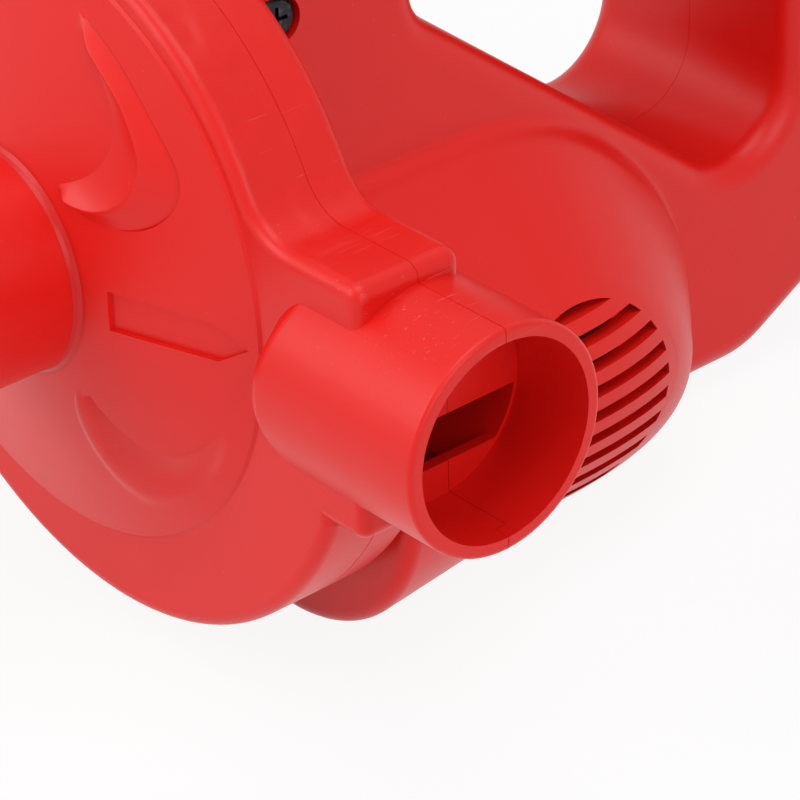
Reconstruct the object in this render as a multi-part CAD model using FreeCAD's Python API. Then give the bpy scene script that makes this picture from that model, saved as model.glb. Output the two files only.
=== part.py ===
import FreeCAD, Part
import math
import os
from FreeCAD import Vector

# Two-way blower: a scroll housing with an inlet pipe on its face and an outlet
# pipe at its side, and behind it a D-handled body that holds motor and switch.
# Lengths are millimetres. The parts are drawn about the fan axis, which runs
# along Y through x = 0, z = 0; the scroll is split in the plane y = 0 and the
# body in the plane x = 0. The last step moves all to the standing origin.

# Ports
PORT_R = 19.0
PORT_WALL = 2.4
PORT_ROUND = 0.9
OUTLET_REACH = 93.5
OUTLET_DROP = 2.7
INLET_REACH = 50.0
INLET_FOOT_R = 1.5
CAP_X = 70.7
CAP_R = 17.7
CAP_LEAN = 0.6
CAP_ROUND = 2.4
GUARD_STAND = 7.2
GUARD_THICK = 2.0
GUARD_LEDGE = 0.5
GUARD_SLOT_LOW = -10.9
GUARD_SLOT_HIGH = -2.7
INLET_GUARD_DEPTH = 26.0
INLET_GUARD_BAR = 2.0
INLET_GUARD_HUB_R = 4.0

# Scroll housing
SCROLL_FRONT = 11.8
SCROLL_REAR = 8.8
SCROLL_WALL = 2.4
SCROLL_R = 55.2
SCROLL_GROWTH = 15.6
SPIRAL_START = 190.0
SPIRAL_END = 339.0
SPIRAL_STEPS = 12
SPIRAL_EASE = 2.2
RIM_ROUND = 2.2
DUCT_HALF = 21.9
DUCT_END_X = 74.5
DUCT_THROAT_R = 10.0
DUCT_CORNER_R = 2.5
SEAM_GAP = 0.2
LIP_THICK = 1.1
LIP_HIGH = 2.2
LIP_CLEAR = 0.1
LIP_SETBACK = 3.0
FACE_R = 52.0
FACE_STEP = 0.5
FACE_SLOPE = 0.285
PLATEAU_R = 45.4

# Face relief
RELIEF_DEPTH = 0.9

# Scroll screws
SCROLL_SCREW_ANGLES = (75.0, 130.0, 185.0, 240.0, 290.0)
BOSS_R = 3.3
BOSS_INSET = 5.6
SCREW_R = 1.5
SCREW_HOLE_R = 1.7
SCREW_HEAD_R = 2.75
SCREW_HEAD_HIGH = 1.8
SCREW_PILOT_R = 1.55
SCROLL_SCREW_LONG = 15.0

# Collar that the body halves grip
COLLAR_R = 21.3
COLLAR_WALL = 2.2
COLLAR_FLANGE_R = 24.0
COLLAR_FLANGE = 1.8
COLLAR_FIT = 0.2

# Body and handle, side view as y, z
BODY_FRONT = 11.4
BODY_HALF_T = 25.5
BODY_WALL = 2.5
BODY_EDGE_R = 5.0
BODY_CORNER_R = 8.0
BODY_FRONT_TOP = 58.0
BODY_LOW = -65.0
GRIP_TOP_Y = 60.0
GRIP_TOP_Z = 72.0
GRIP_BEND_R = 50.0
HANDLE_REAR = 160.0
HANDLE_TOP_Z = 66.0
HANDLE_TOP_R = 34.0
HANDLE_HEEL_Y = 122.5
HANDLE_HEEL_R = 20.0
HANDLE_HEEL_RISE = 20.4
HANDLE_BACK_R = 40.0
HOLE_FRONT_Y = 25.0
HOLE_FRONT_Z = 43.6
HOLE_FRONT_R = 9.5
HOLE_REAR_Y = 131.4
HOLE_REAR_LOW = -38.2
HOLE_REAR_TOP = 40.0
HOLE_REAR_R = 13.5
HOLE_EDGE_R = 5.0

# Bulge below the motor
BULGE_HALF_W = 58.6
BULGE_TAPER = 0.13
BULGE_EDGE_R = 2.4
BULGE_TOP = -5.0
BULGE_LOW = -69.0
BULGE_STRAIGHT = 52.0
BULGE_REAR = 98.0
BULGE_TAIL_Z = -47.0
BULGE_SIDE_FULL = 2.2
BULGE_BASE_FULL = 3.5
BULGE_BLEND_R = 9.0
STAND_CUT = 0.2
BULGE_STATIONS = 9

# Vent grilles
VENT_Y = 56.5
VENT_Z = -41.0
VENT_R = 21.0
VENT_SLOTS = 9
VENT_SLOT_TOP = -20.8
VENT_PITCH = 4.63
VENT_SLOT_HIGH = 2.2
VENT_RIB_Y = 66.3
VENT_RIB_THICK = 2.0
VENT_RIB_DEEP = 2.5

# Body screws as y, z
BODY_SCREW_POSTS = ((15.6, 37.2), (148.0, 46.0), (149.0, -28.0), (84.0, 59.0))
POST_R = 4.6
HEAD_BORE_R = 4.1
HEAD_BORE_DEEP = 3.0
BODY_SCREW_R = 1.9
BODY_SCREW_HOLE_R = 2.1
BODY_PILOT_R = 1.95
BODY_SCREW_HEAD_R = 3.8
BODY_SCREW_HEAD_HIGH = 2.4
BODY_SCREW_LONG = 34.0
POST_GAP = 0.2

# Impeller
FAN_R = 42.0
FAN_EYE_R = 18.0
FAN_BACK_Y = 7.1
FAN_PLATE = 1.5
FAN_TIP_Y = -8.5
FAN_EYE_Y = -15.0
FAN_HUB_R = 8.0
FAN_HUB_FRONT = -3.0
FAN_BLADES = 9
FAN_BLADE_THICK = 1.4
FAN_BLADE_R = 40.0
FAN_BLADE_INNER_R = 14.0

# Motor
SHAFT_R = 2.5
SHAFT_FIT = 0.02
SHAFT_FRONT = -10.0
NUT_HIGH = 4.0
NUT_FLATS = 8.0
WASHER_THICK = 1.0
WASHER_R = 6.5
PAD_THICK = 1.0
MOTOR_R = 18.0
CAN_WALL = 1.0
CAN_LONG = 29.0
BELL_LONG = 13.0
BELL_WALL = 2.0
NOSE_R = 9.6
NOSE_LONG = 3.8
NOSE_WALL = 1.0
BEARING_R = 8.0
BEARING_LONG = 5.0
RACE_THICK = 1.4
SHIELD_RECESS = 0.4
BUSH_R = 5.4
BUSH_LONG = 5.0
BUSH_SEAT_WALL = 1.6
MAGNET_THICK = 3.2
MAGNET_ARC = 130.0
MAGNET_LONG = 19.0
AIR_GAP = 0.6
SEAT_GAP = 0.05
CORE_START = 11.5
CORE_LONG = 13.5
CORE_SLOTS = 7
CORE_SLOT_R = 2.2
CORE_TIP = 1.3
COIL_HIGH = 3.5
COMMUTATOR_R = 5.0
COMMUTATOR_START = 0.6
COMMUTATOR_LONG = 5.8
COMMUTATOR_BARS = 7
BAR_GAP = 0.5
COOLING_FAN_R = 12.0
COOLING_FAN_START = 3.4
COOLING_FAN_HIGH = 3.0
COOLING_BLADES = 8
BRUSH_WIDE = 4.0
BRUSH_TALL = 4.0
BRUSH_LONG = 5.5
BRUSH_START = 3.6
HOLDER_START = 2.5
HOLDER_WALL = 0.6
HOLDER_FIT = 0.1
SPRING_R = 1.6
SPRING_WALL = 0.6
MOTOR_SCREW_SPREAD = 13.5
MOTOR_SCREW_LONG = 6.2
MOTOR_SCREW_HEAD = 1.4
RING_START = 34.0
RING_LONG = 6.0
RIB_THICK = 2.0
TERMINAL_X = 11.0
TERMINAL_LONG = 6.0
TERMINAL_WIDE = 3.0
TERMINAL_THICK = 0.8
BOARD_GAP = 3.0
BOARD_THICK = 1.6
BOARD_HALF_W = 15.0
BOARD_TOP = 8.0
BOARD_LOW = -26.0
DIODES = 4
DIODE_R = 1.3
DIODE_PITCH = 3.5
CAPACITOR_SIZE = (18.0, 7.0, 11.0)
CAPACITOR_LOW = -9.0

# Switch
SWITCH_Y = 42.0
SWITCH_LONG = 21.0
SWITCH_WIDE = 15.0
BEZEL_HIGH = 1.6
BEZEL_WALL = 1.8
SWITCH_DEEP = 13.0
ROCKER_FIT = 0.35
ROCKER_PIVOT = -1.0
ROCKER_TILT = 9.0
ROCKER_WALL = 1.0
ROCKER_PIN_R = 0.8
ROCKER_PIN_LONG = 0.8

# Cord inlet
CORD_HOLE_Z = -2.0
CORD_R = 3.2
BUSH_BODY_R = 5.6
BUSH_FLANGE_R = 7.4
BUSH_FLANGE = 2.0

# Derived sizes
PORT_BORE_R = PORT_R - PORT_WALL
RIM_Y = -SCROLL_FRONT
FACE_Y = RIM_Y - FACE_STEP
FACE_TOP_R = PORT_R + INLET_FOOT_R
FACE_TOP_Y = FACE_Y - FACE_SLOPE * (FACE_R - FACE_TOP_R)
OUTLET_Z = -OUTLET_DROP
MOTOR_Y = BODY_FRONT + PAD_THICK
BELL_Y = MOTOR_Y + CAN_LONG
MOTOR_END = BELL_Y + BELL_LONG
CORE_Y = MOTOR_Y + CORE_START
MAGNET_R = MOTOR_R - CAN_WALL - SEAT_GAP
CORE_R = MAGNET_R - MAGNET_THICK - AIR_GAP
CORE_REACH = CORE_R - CORE_SLOT_R - CORE_TIP
BODY_INNER = BODY_HALF_T - BODY_WALL
WIDEST = BULGE_HALF_W - BULGE_TAPER * BULGE_EDGE_R
SHIFT = Vector((WIDEST - OUTLET_REACH) / 2, (INLET_REACH - HANDLE_REAR - BUSH_FLANGE) / 2, -BULGE_LOW)


def block(x0, x1, y0, y1, z0, z1):
    return Part.makeBox(x1 - x0, y1 - y0, z1 - z0, Vector(x0, y0, z0))


def rod_x(x0, x1, y, z, radius):
    return Part.makeCylinder(radius, x1 - x0, Vector(x0, y, z), Vector(1, 0, 0))


def rod_y(y0, y1, x, z, radius):
    return Part.makeCylinder(radius, y1 - y0, Vector(x, y0, z), Vector(0, 1, 0))


def fuse_all(shapes):
    body = shapes[0]
    for shape in shapes[1:]:
        body = body.fuse(shape)
    return body.removeSplitter()


def loop_edges(corners):
    """Edges of a closed loop in the plane of u and v, each corner given as u, v, radius."""
    entries, exits, middles = [], [], []
    for index, (u, v, radius) in enumerate(corners):
        point = Vector(u, v, 0)
        before = corners[index - 1]
        after = corners[(index + 1) % len(corners)]
        back = (Vector(before[0], before[1], 0) - point).normalize()
        ahead = (Vector(after[0], after[1], 0) - point).normalize()
        half = back.getAngle(ahead) / 2
        reach = radius / math.tan(half)
        inward = (back + ahead).normalize()
        entries.append(point + back * reach)
        exits.append(point + ahead * reach)
        middles.append(point + inward * (radius / math.sin(half) - radius))
    edges = []
    for index, corner in enumerate(corners):
        if corner[2] > 0:
            edges.append(Part.Arc(entries[index], middles[index], exits[index]).toShape())
        following = (index + 1) % len(corners)
        edges.append(Part.LineSegment(exits[index], entries[following]).toShape())
    return edges


def side_prism(corners, half_thickness):
    """Solid between x = -half and +half from a loop drawn in y and z."""
    face = Part.Face(Part.Wire(loop_edges(corners)))
    solid = face.extrude(Vector(0, 0, 2 * half_thickness))
    solid.translate(Vector(0, 0, -half_thickness))
    solid.rotate(Vector(0, 0, 0), Vector(1, 0, 0), 90)
    solid.rotate(Vector(0, 0, 0), Vector(0, 0, 1), 90)
    return solid


def round_edges(solid, radius, wanted):
    edges = [edge for edge in solid.Edges if wanted(edge)]
    return solid.makeFillet(radius, edges)


def bevel_edges(solid, size, wanted):
    edges = [edge for edge in solid.Edges if wanted(edge)]
    return solid.makeChamfer(size, edges)


def lathe_y(profile):
    """Solid turned about the fan axis from points given as radius, y."""
    points = [Vector(radius, y, 0) for radius, y in profile]
    wire = Part.makePolygon(points + points[:1])
    return Part.Face(wire).revolve(Vector(0, 0, 0), Vector(0, 1, 0), 360)


def scroll_radius(angle):
    share = max(0.0, (angle - SPIRAL_START) / (SPIRAL_END - SPIRAL_START))
    return SCROLL_R + SCROLL_GROWTH * math.sin(share * math.pi / 2) ** SPIRAL_EASE


def scroll_face(inset, y):
    """Outline of scroll and duct, moved inwards by inset, in the plane y."""
    def at(angle, radius):
        turn = math.radians(angle)
        return Vector(radius * math.cos(turn), y, radius * math.sin(turn))

    radius = SCROLL_R - inset
    top = DUCT_HALF + OUTLET_Z - inset
    low = -DUCT_HALF + OUTLET_Z + inset
    end = DUCT_END_X - inset
    corner = max(DUCT_CORNER_R - inset, 0.2)
    turned = corner * (1 - math.sqrt(0.5))
    throat = DUCT_THROAT_R + inset
    throat_x = math.sqrt((radius + throat) ** 2 - (top + throat) ** 2)
    throat_angle = math.degrees(math.atan2(top + throat, throat_x))
    step = (SPIRAL_END - SPIRAL_START) / SPIRAL_STEPS
    angles = [SPIRAL_START + step * index for index in range(SPIRAL_STEPS + 1)]
    spiral = Part.BSplineCurve()
    spiral.interpolate([at(angle, scroll_radius(angle) - inset) for angle in angles])
    tail = at(SPIRAL_END, scroll_radius(SPIRAL_END) - inset)
    lean = math.radians((throat_angle + 450) / 2)
    throat_mid = Vector(throat_x + throat * math.cos(lean), y, top + throat + throat * math.sin(lean))
    throat_end = at(throat_angle, radius)
    half_turn = (throat_angle + SPIRAL_START) / 2
    top_start = Vector(end, y, top - corner)
    top_mid = Vector(end - turned, y, top - turned)
    top_end = Vector(end - corner, y, top)
    throat_start = Vector(throat_x, y, top)
    foot = Vector(tail.x, y, low)
    low_start = Vector(end - corner, y, low)
    low_mid = Vector(end - turned, y, low + turned)
    low_end = Vector(end, y, low + corner)
    edges = [
        Part.Arc(top_start, top_mid, top_end).toShape(),
        Part.LineSegment(top_end, throat_start).toShape(),
        Part.Arc(throat_start, throat_mid, throat_end).toShape(),
        Part.Arc(throat_end, at(half_turn, radius), at(SPIRAL_START, radius)).toShape(),
        spiral.toShape(),
        Part.LineSegment(tail, foot).toShape(),
        Part.LineSegment(foot, low_start).toShape(),
        Part.Arc(low_start, low_mid, low_end).toShape(),
        Part.LineSegment(low_end, top_start).toShape(),
    ]
    return Part.Face(Part.Wire(edges))


def scroll_prism(inset, y0, y1):
    return scroll_face(inset, y0).extrude(Vector(0, y1 - y0, 0))


def pipe_cap(pipe_r, inset, scroll_half):
    """Steep cap at the root of the outlet pipe, on the front side of the seam."""
    reach = pipe_r + 1
    low_r = CAP_R - inset + (scroll_half - reach) * CAP_LEAN
    high_r = CAP_R - inset + scroll_half * CAP_LEAN
    cone = Part.makeCone(low_r, high_r, reach, Vector(CAP_X, -reach, OUTLET_Z), Vector(0, 1, 0))
    return cone.common(rod_x(CAP_X - 3 * pipe_r, CAP_X, 0, OUTLET_Z, pipe_r))


def outlet_pipe():
    """Round outlet pipe with a steep rounded cap at its root, front and rear."""
    pipe = rod_x(CAP_X, OUTLET_REACH, 0, OUTLET_Z, PORT_R)
    pipe = round_edges(pipe, PORT_ROUND, lambda edge: edge.BoundBox.XMin > OUTLET_REACH - 0.01)
    caps = [round_edges(pipe_cap(PORT_R, 0, half), CAP_ROUND,
                        lambda edge: edge.BoundBox.YMin < -PORT_R * 0.5 and edge.BoundBox.XMax < CAP_X - 1)
            for half in (SCROLL_FRONT, SCROLL_REAR)]
    return fuse_all([pipe, caps[0], caps[1].mirror(Vector(0, 0, 0), Vector(0, 1, 0))])


def outlet_bore():
    """Air way of the outlet, a little narrower behind the slotted guard wall left standing in it."""
    guard_x = CAP_X + GUARD_STAND
    narrow_r = PORT_BORE_R - GUARD_LEDGE
    mouth = rod_x(guard_x, OUTLET_REACH + 1, 0, OUTLET_Z, PORT_BORE_R)
    throat = rod_x(CAP_X, guard_x, 0, OUTLET_Z, narrow_r)
    front = pipe_cap(narrow_r, SCROLL_WALL, SCROLL_FRONT)
    rear = pipe_cap(narrow_r, SCROLL_WALL, SCROLL_REAR)
    bore = fuse_all([mouth, throat, front, rear.mirror(Vector(0, 0, 0), Vector(0, 1, 0))])
    guard = block(guard_x - GUARD_THICK, guard_x, -PORT_R, PORT_R, OUTLET_Z - PORT_R, OUTLET_Z + PORT_R)
    slot = block(guard_x - GUARD_THICK, guard_x, -PORT_R, PORT_R,
                 OUTLET_Z + GUARD_SLOT_LOW, OUTLET_Z + GUARD_SLOT_HIGH)
    return bore.cut(guard.cut(slot))


def scroll_void():
    """Air space inside both scroll halves, with the round recess behind the impeller."""
    chamber = scroll_prism(SCROLL_WALL, SCROLL_WALL - SCROLL_FRONT, SCROLL_REAR - SCROLL_WALL)
    recess = rod_y(0, BODY_FRONT - SCROLL_WALL, 0, 0, PLATEAU_R - SCROLL_WALL)
    return fuse_all([chamber, recess, outlet_bore()])


def face_profile(inset):
    """Radius and y of the raised face and inlet pipe, moved inwards by inset."""
    points = [(FACE_R, RIM_Y + inset + 1), (FACE_R, RIM_Y + inset), (FACE_R - FACE_STEP, FACE_Y + inset)]
    foot = INLET_FOOT_R + inset
    for step in range(4):
        turn = math.radians(30 * step)
        points.append((PORT_R - inset + foot * (1 - math.sin(turn)),
                       FACE_TOP_Y + inset - foot * (1 - math.cos(turn))))
    return points


def crescent(outer, inner, y0, y1):
    """Prism between two smooth curves, each given by points in x and z, joined at their ends."""
    edges = []
    for points in (outer, inner[::-1]):
        curve = Part.BSplineCurve()
        curve.interpolate([Vector(x, y0, z) for x, z in points])
        edges.append(curve.toShape())
    for here, there in ((outer[-1], inner[-1]), (inner[0], outer[0])):
        edges.append(Part.LineSegment(Vector(here[0], y0, here[1]), Vector(there[0], y0, there[1])).toShape())
    return Part.Face(Part.Wire(Part.__sortEdges__(edges))).extrude(Vector(0, y1 - y0, 0))


def screw_boss_places():
    places = []
    for angle in SCROLL_SCREW_ANGLES:
        turn = math.radians(angle)
        radius = scroll_radius(angle) - BOSS_INSET
        places.append((radius * math.cos(turn), radius * math.sin(turn)))
    return places


def seam_band(clear, high):
    """Ring just inside the outer wall at the seam, as lip or as rebate."""
    outer = SCROLL_WALL - LIP_THICK - clear
    band = scroll_prism(outer, 0, high)
    pipe = rod_x(DUCT_END_X - SCROLL_WALL, OUTLET_REACH - LIP_SETBACK + clear, 0, OUTLET_Z,
                 PORT_BORE_R + LIP_THICK + clear)
    return band.fuse(pipe.common(block(0, 200, 0, high, -50, 50)))


def front_scroll_shell():
    shell = scroll_prism(0, RIM_Y, 0)
    shell = round_edges(shell, RIM_ROUND, lambda edge: edge.BoundBox.YMax < RIM_Y + 0.01)
    outside = face_profile(0)
    outside += [(PORT_R, -INLET_REACH + PORT_ROUND), (PORT_R - PORT_ROUND, -INLET_REACH)]
    outside += [(0, -INLET_REACH), (0, RIM_Y + 1)]
    pipe = outlet_pipe().common(block(0, 200, -50, 0, -50, 50))
    inside = face_profile(SCROLL_WALL)
    narrow_r = PORT_BORE_R - GUARD_LEDGE
    guard_y = -INLET_REACH + INLET_GUARD_DEPTH - INLET_GUARD_BAR
    inside[-1] = (narrow_r, inside[-1][1])
    inside += [(narrow_r, guard_y), (PORT_BORE_R, guard_y)]
    inside += [(PORT_BORE_R, -INLET_REACH - 1), (0, -INLET_REACH - 1), (0, RIM_Y + SCROLL_WALL + 1)]
    lip = seam_band(0, LIP_HIGH)
    for x, z in screw_boss_places():
        lip = lip.cut(rod_y(-1, LIP_HIGH + 1, x, z, BOSS_R + LIP_CLEAR))
    shell = fuse_all([shell, lathe_y(outside), pipe, lip]).cut(scroll_void()).cut(lathe_y(inside))
    bosses = [rod_y(RIM_Y + 1, 0, x, z, BOSS_R) for x, z in screw_boss_places()]
    shell = fuse_all([face_relief(shell), inlet_guard()] + bosses)
    for x, z in screw_boss_places():
        shell = shell.cut(rod_y(RIM_Y + SCROLL_WALL, 1, x, z, SCREW_PILOT_R))
    return shell


def inlet_guard():
    """Three arms and a small hub across the inlet, ahead of the impeller."""
    y1 = -INLET_REACH + INLET_GUARD_DEPTH
    y0 = y1 - INLET_GUARD_BAR
    guard = rod_y(y0, y1, 0, 0, INLET_GUARD_HUB_R)
    for turn in range(3):
        half = INLET_GUARD_BAR / 2
        arm = block(0, PORT_BORE_R + 1, y0, y1, -half, half)
        arm.rotate(Vector(0, 0, 0), Vector(0, 1, 0), 120 * turn + 90)
        guard = guard.fuse(arm)
    return guard


def face_relief(shell):
    """Two swept crescents and an arrow-shaped panel let into the face."""
    lowered = lathe_y(face_profile(RELIEF_DEPTH) + [(0, FACE_TOP_Y), (0, RIM_Y + 2)])
    y0 = FACE_TOP_Y - 2
    y1 = RIM_Y
    outer = ((15.0, 44.0), (22.0, 40.2), (31.7, 31.5), (37.3, 22.5), (31.4, 14.9), (22.4, 14.0), (15.0, 17.0))
    ridge = ((14.2, 43.2), (20.6, 38.3), (26.6, 33.2), (30.7, 25.5), (28.0, 18.5), (21.9, 15.8), (15.4, 17.8))
    pockets = crescent(outer, ridge, y0, y1)
    low_outer = ((15.0, -20.1), (13.8, -30.0), (19.6, -37.9), (33.0, -34.3), (43.9, -17.2))
    low_inner = ((17.5, -19.0), (20.8, -23.3), (27.7, -26.4), (36.4, -23.2), (43.2, -17.6))
    pockets = pockets.fuse(crescent(low_outer, low_inner, y0, y1))
    arrow = [(24.5, 2.7), (24.4, -4.3), (44.2, -3.9), (49.8, -0.4), (43.8, 2.5)]
    points = [Vector(x, y0, z) for x, z in arrow]
    panel = Part.Face(Part.makePolygon(points + points[:1])).extrude(Vector(0, y1 - y0, 0))
    pockets = pockets.fuse(panel)
    return shell.cut(pockets.cut(lowered))


def rear_scroll_shell():
    shell = scroll_prism(0, 0, SCROLL_REAR)
    shell = round_edges(shell, RIM_ROUND, lambda edge: edge.BoundBox.YMin > SCROLL_REAR - 0.01)
    pipe = outlet_pipe().common(block(0, 200, 0, 50, -50, 50))
    plateau = rod_y(0, BODY_FRONT, 0, 0, PLATEAU_R)
    shell = fuse_all([shell, plateau, pipe]).cut(scroll_void()).cut(seam_band(LIP_CLEAR, LIP_HIGH + LIP_CLEAR))
    bosses = [rod_y(0, SCROLL_REAR - 1, x, z, BOSS_R) for x, z in screw_boss_places()]
    shell = fuse_all([shell, collar()] + bosses)
    shell = shell.cut(block(-100, 100, -1, SEAM_GAP, -100, 100))
    head_y = SCROLL_REAR - SCREW_HEAD_HIGH - COLLAR_FIT
    for x, z in screw_boss_places():
        shell = shell.cut(rod_y(-1, SCROLL_REAR + 1, x, z, SCREW_HOLE_R))
        shell = shell.cut(rod_y(head_y, SCROLL_REAR + 1, x, z, SCREW_HEAD_R + SCREW_HOLE_R - SCREW_R))
    shell = shell.cut(rod_y(0, BODY_FRONT + 1, 0, 0, NOSE_R + COLLAR_FIT))
    for x, z in motor_screw_places():
        shell = shell.cut(rod_y(0, BODY_FRONT + 1, x, z, SCREW_HOLE_R))
    return shell


def collar():
    """Flanged collar behind the scroll that the two body halves close round."""
    flange_y = BODY_FRONT + BODY_WALL + COLLAR_FIT
    ring = rod_y(BODY_FRONT - 1, flange_y + COLLAR_FLANGE, 0, 0, COLLAR_R)
    flange = rod_y(flange_y, flange_y + COLLAR_FLANGE, 0, 0, COLLAR_FLANGE_R)
    room = BODY_INNER - COLLAR_FIT
    flange = flange.common(block(-room, room, 0, 100, -100, 100))
    solid = ring.fuse(flange)
    return solid.cut(rod_y(BODY_FRONT, 100, 0, 0, COLLAR_R - COLLAR_WALL))


def motor_screw_places():
    spread = MOTOR_SCREW_SPREAD
    return [(spread * math.cos(math.radians(angle)), spread * math.sin(math.radians(angle)))
            for angle in (45, 135, 225, 315)]


def screw(y0, y1, x, z, head_r, head_high, radius):
    """Pan-head screw along Y: the head lies behind y1, the thread runs to y0."""
    body = rod_y(y0, y1, x, z, radius)
    head = rod_y(y1, y1 + head_high, x, z, head_r)
    head = bevel_edges(head, head_high * 0.3, lambda edge: edge.BoundBox.YMin > y1 + head_high - 0.01)
    cross = block(-head_r * 0.55, head_r * 0.55, y1 + head_high * 0.4, y1 + head_high + 1, -0.35, 0.35)
    other = block(-0.35, 0.35, y1 + head_high * 0.4, y1 + head_high + 1, -head_r * 0.55, head_r * 0.55)
    cross = cross.fuse(other)
    cross.translate(Vector(x, 0, z))
    return body.fuse(head).cut(cross)


def scroll_screws():
    seat = SCROLL_REAR - SCREW_HEAD_HIGH - COLLAR_FIT
    return Part.makeCompound([screw(seat - SCROLL_SCREW_LONG, seat, x, z, SCREW_HEAD_R, SCREW_HEAD_HIGH,
                                    SCREW_R) for x, z in screw_boss_places()])


def body_side_loop(inset):
    """Outer side outline of body and handle as y, z, radius."""
    rise = HANDLE_REAR - HANDLE_HEEL_Y
    slope = math.atan2(HANDLE_HEEL_RISE, rise)
    heel_y = HANDLE_HEEL_Y - inset * math.tan(slope / 2)
    back_z = BODY_LOW + HANDLE_HEEL_RISE + inset * math.tan((math.pi / 2 - slope) / 2)
    return [
        (BODY_FRONT + inset, BODY_LOW + inset, BODY_CORNER_R - inset),
        (heel_y, BODY_LOW + inset, HANDLE_HEEL_R - inset),
        (HANDLE_REAR - inset, back_z, HANDLE_BACK_R - inset),
        (HANDLE_REAR - inset, HANDLE_TOP_Z - inset, HANDLE_TOP_R - inset),
        (GRIP_TOP_Y, GRIP_TOP_Z - inset, GRIP_BEND_R - inset),
        (BODY_FRONT + inset, BODY_FRONT_TOP - inset, BODY_CORNER_R - inset),
    ]


def hole_loop(grow):
    """Finger opening as y, z, radius, grown by the given amount."""
    slope = math.atan2(HOLE_FRONT_Z - HOLE_REAR_LOW, HOLE_REAR_Y - HOLE_FRONT_Y)
    fall = math.atan2(HOLE_FRONT_Z - HOLE_REAR_TOP, HOLE_REAR_Y - HOLE_FRONT_Y)
    front_reach = grow / math.sin((slope - fall) / 2)
    middle = (slope + fall) / 2
    return [
        (HOLE_FRONT_Y - front_reach * math.cos(middle), HOLE_FRONT_Z + front_reach * math.sin(middle),
         HOLE_FRONT_R + grow),
        (HOLE_REAR_Y + grow, HOLE_REAR_LOW - grow * math.tan((math.pi / 2 + slope) / 2),
         HOLE_REAR_R + grow),
        (HOLE_REAR_Y + grow, HOLE_REAR_TOP + grow * math.tan((math.pi / 2 - fall) / 2),
         HOLE_REAR_R + grow),
    ]


def bulge_section(y, share, inset):
    """Section of the bulge with the concave blend into the side panels, inset from outside.

    The share runs from 0 on the straight part to 1 at the tip of the tail."""
    rest = math.sqrt(1 - share ** 2)
    top = BULGE_TAIL_Z + (BULGE_TOP - BULGE_TAIL_Z) * rest
    depth = BULGE_TAIL_Z - BULGE_LOW + STAND_CUT
    low = BULGE_TAIL_Z - depth * (1 - share ** BULGE_BASE_FULL) ** (1 / BULGE_BASE_FULL)
    wide = BULGE_HALF_W - BULGE_TAPER * (min(y, BULGE_STRAIGHT) - BODY_FRONT)
    half = BODY_HALF_T + (wide - BODY_HALF_T) * (1 - share ** BULGE_SIDE_FULL) ** (1 / BULGE_SIDE_FULL)
    radius = (top - low) / 2
    mid = (top + low) / 2
    side = half - radius
    blend = BULGE_BLEND_R * rest
    foot_x = BODY_HALF_T + blend
    foot_z = mid + math.sqrt((radius + blend) ** 2 - (foot_x - side) ** 2)
    climb = math.atan2(foot_z - mid, foot_x - side)
    radius -= inset
    blend += inset

    def on_side(angle):
        return Vector(side + radius * math.cos(angle), y, mid + radius * math.sin(angle))

    def on_blend(angle):
        return Vector(foot_x + blend * math.cos(angle), y, foot_z + blend * math.sin(angle))

    def mirrored(point):
        return Vector(-point.x, point.y, point.z)

    crease = on_blend(math.pi)
    blend_mid = on_blend((climb + 2 * math.pi) / 2)
    meet = on_side(climb)
    side_mid = on_side((climb - math.pi / 2) / 2)
    base = on_side(-math.pi / 2)
    edges = [Part.LineSegment(mirrored(crease), crease).toShape(),
             Part.Arc(crease, blend_mid, meet).toShape(),
             Part.Arc(meet, side_mid, base).toShape(),
             Part.LineSegment(base, mirrored(base)).toShape(),
             Part.Arc(mirrored(base), mirrored(side_mid), mirrored(meet)).toShape(),
             Part.Arc(mirrored(meet), mirrored(blend_mid), mirrored(crease)).toShape()]
    return Part.Wire(edges)


def bulge(inset):
    front = BODY_FRONT + inset
    ends = [bulge_section(front, 0, inset), bulge_section(BULGE_STRAIGHT, 0, inset)]
    straight = Part.makeLoft(ends, True, True)
    if inset == 0:
        straight = round_edges(straight, BULGE_EDGE_R, lambda edge: edge.BoundBox.YMax < front + 0.01
                               and edge.BoundBox.ZMin < BULGE_TOP)
    depth = BULGE_REAR - inset - BULGE_STRAIGHT
    wires = []
    for station in range(BULGE_STATIONS + 1):
        share = math.sin(math.radians(88.0 * station / BULGE_STATIONS))
        wires.append(bulge_section(BULGE_STRAIGHT + depth * share, share, inset))
    return straight.fuse(Part.makeLoft(wires, True, False))


def body_outside():
    plate = side_prism(body_side_loop(0), BODY_HALF_T)
    edge_x = BODY_HALF_T - 0.01
    plate = round_edges(plate, BODY_EDGE_R, lambda edge: abs(edge.BoundBox.XMin) > edge_x
                        and edge.BoundBox.XLength < 0.01)
    hole = side_prism(hole_loop(0), BODY_HALF_T + 1)
    plate = plate.cut(hole)
    plate = round_edges(plate, HOLE_EDGE_R, is_hole_rim)
    below = block(-BULGE_HALF_W, BULGE_HALF_W, 0, BULGE_REAR, BULGE_LOW - 1, BULGE_LOW)
    return plate.fuse(bulge(0)).cut(below)


def is_hole_rim(edge):
    box = edge.BoundBox
    on_side = box.XLength < 0.01 and abs(box.XMin) > BODY_HALF_T - 0.01
    inside_y = box.YMin > HOLE_FRONT_Y and box.YMax < HOLE_REAR_Y + 0.01
    return on_side and inside_y and box.ZMax < HOLE_FRONT_Z and box.ZMin > HOLE_REAR_LOW


def body_inside():
    plate = side_prism(body_side_loop(BODY_WALL), BODY_INNER)
    plate = plate.cut(side_prism(hole_loop(BODY_WALL), BODY_HALF_T))
    return plate.fuse(bulge(BODY_WALL))


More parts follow.
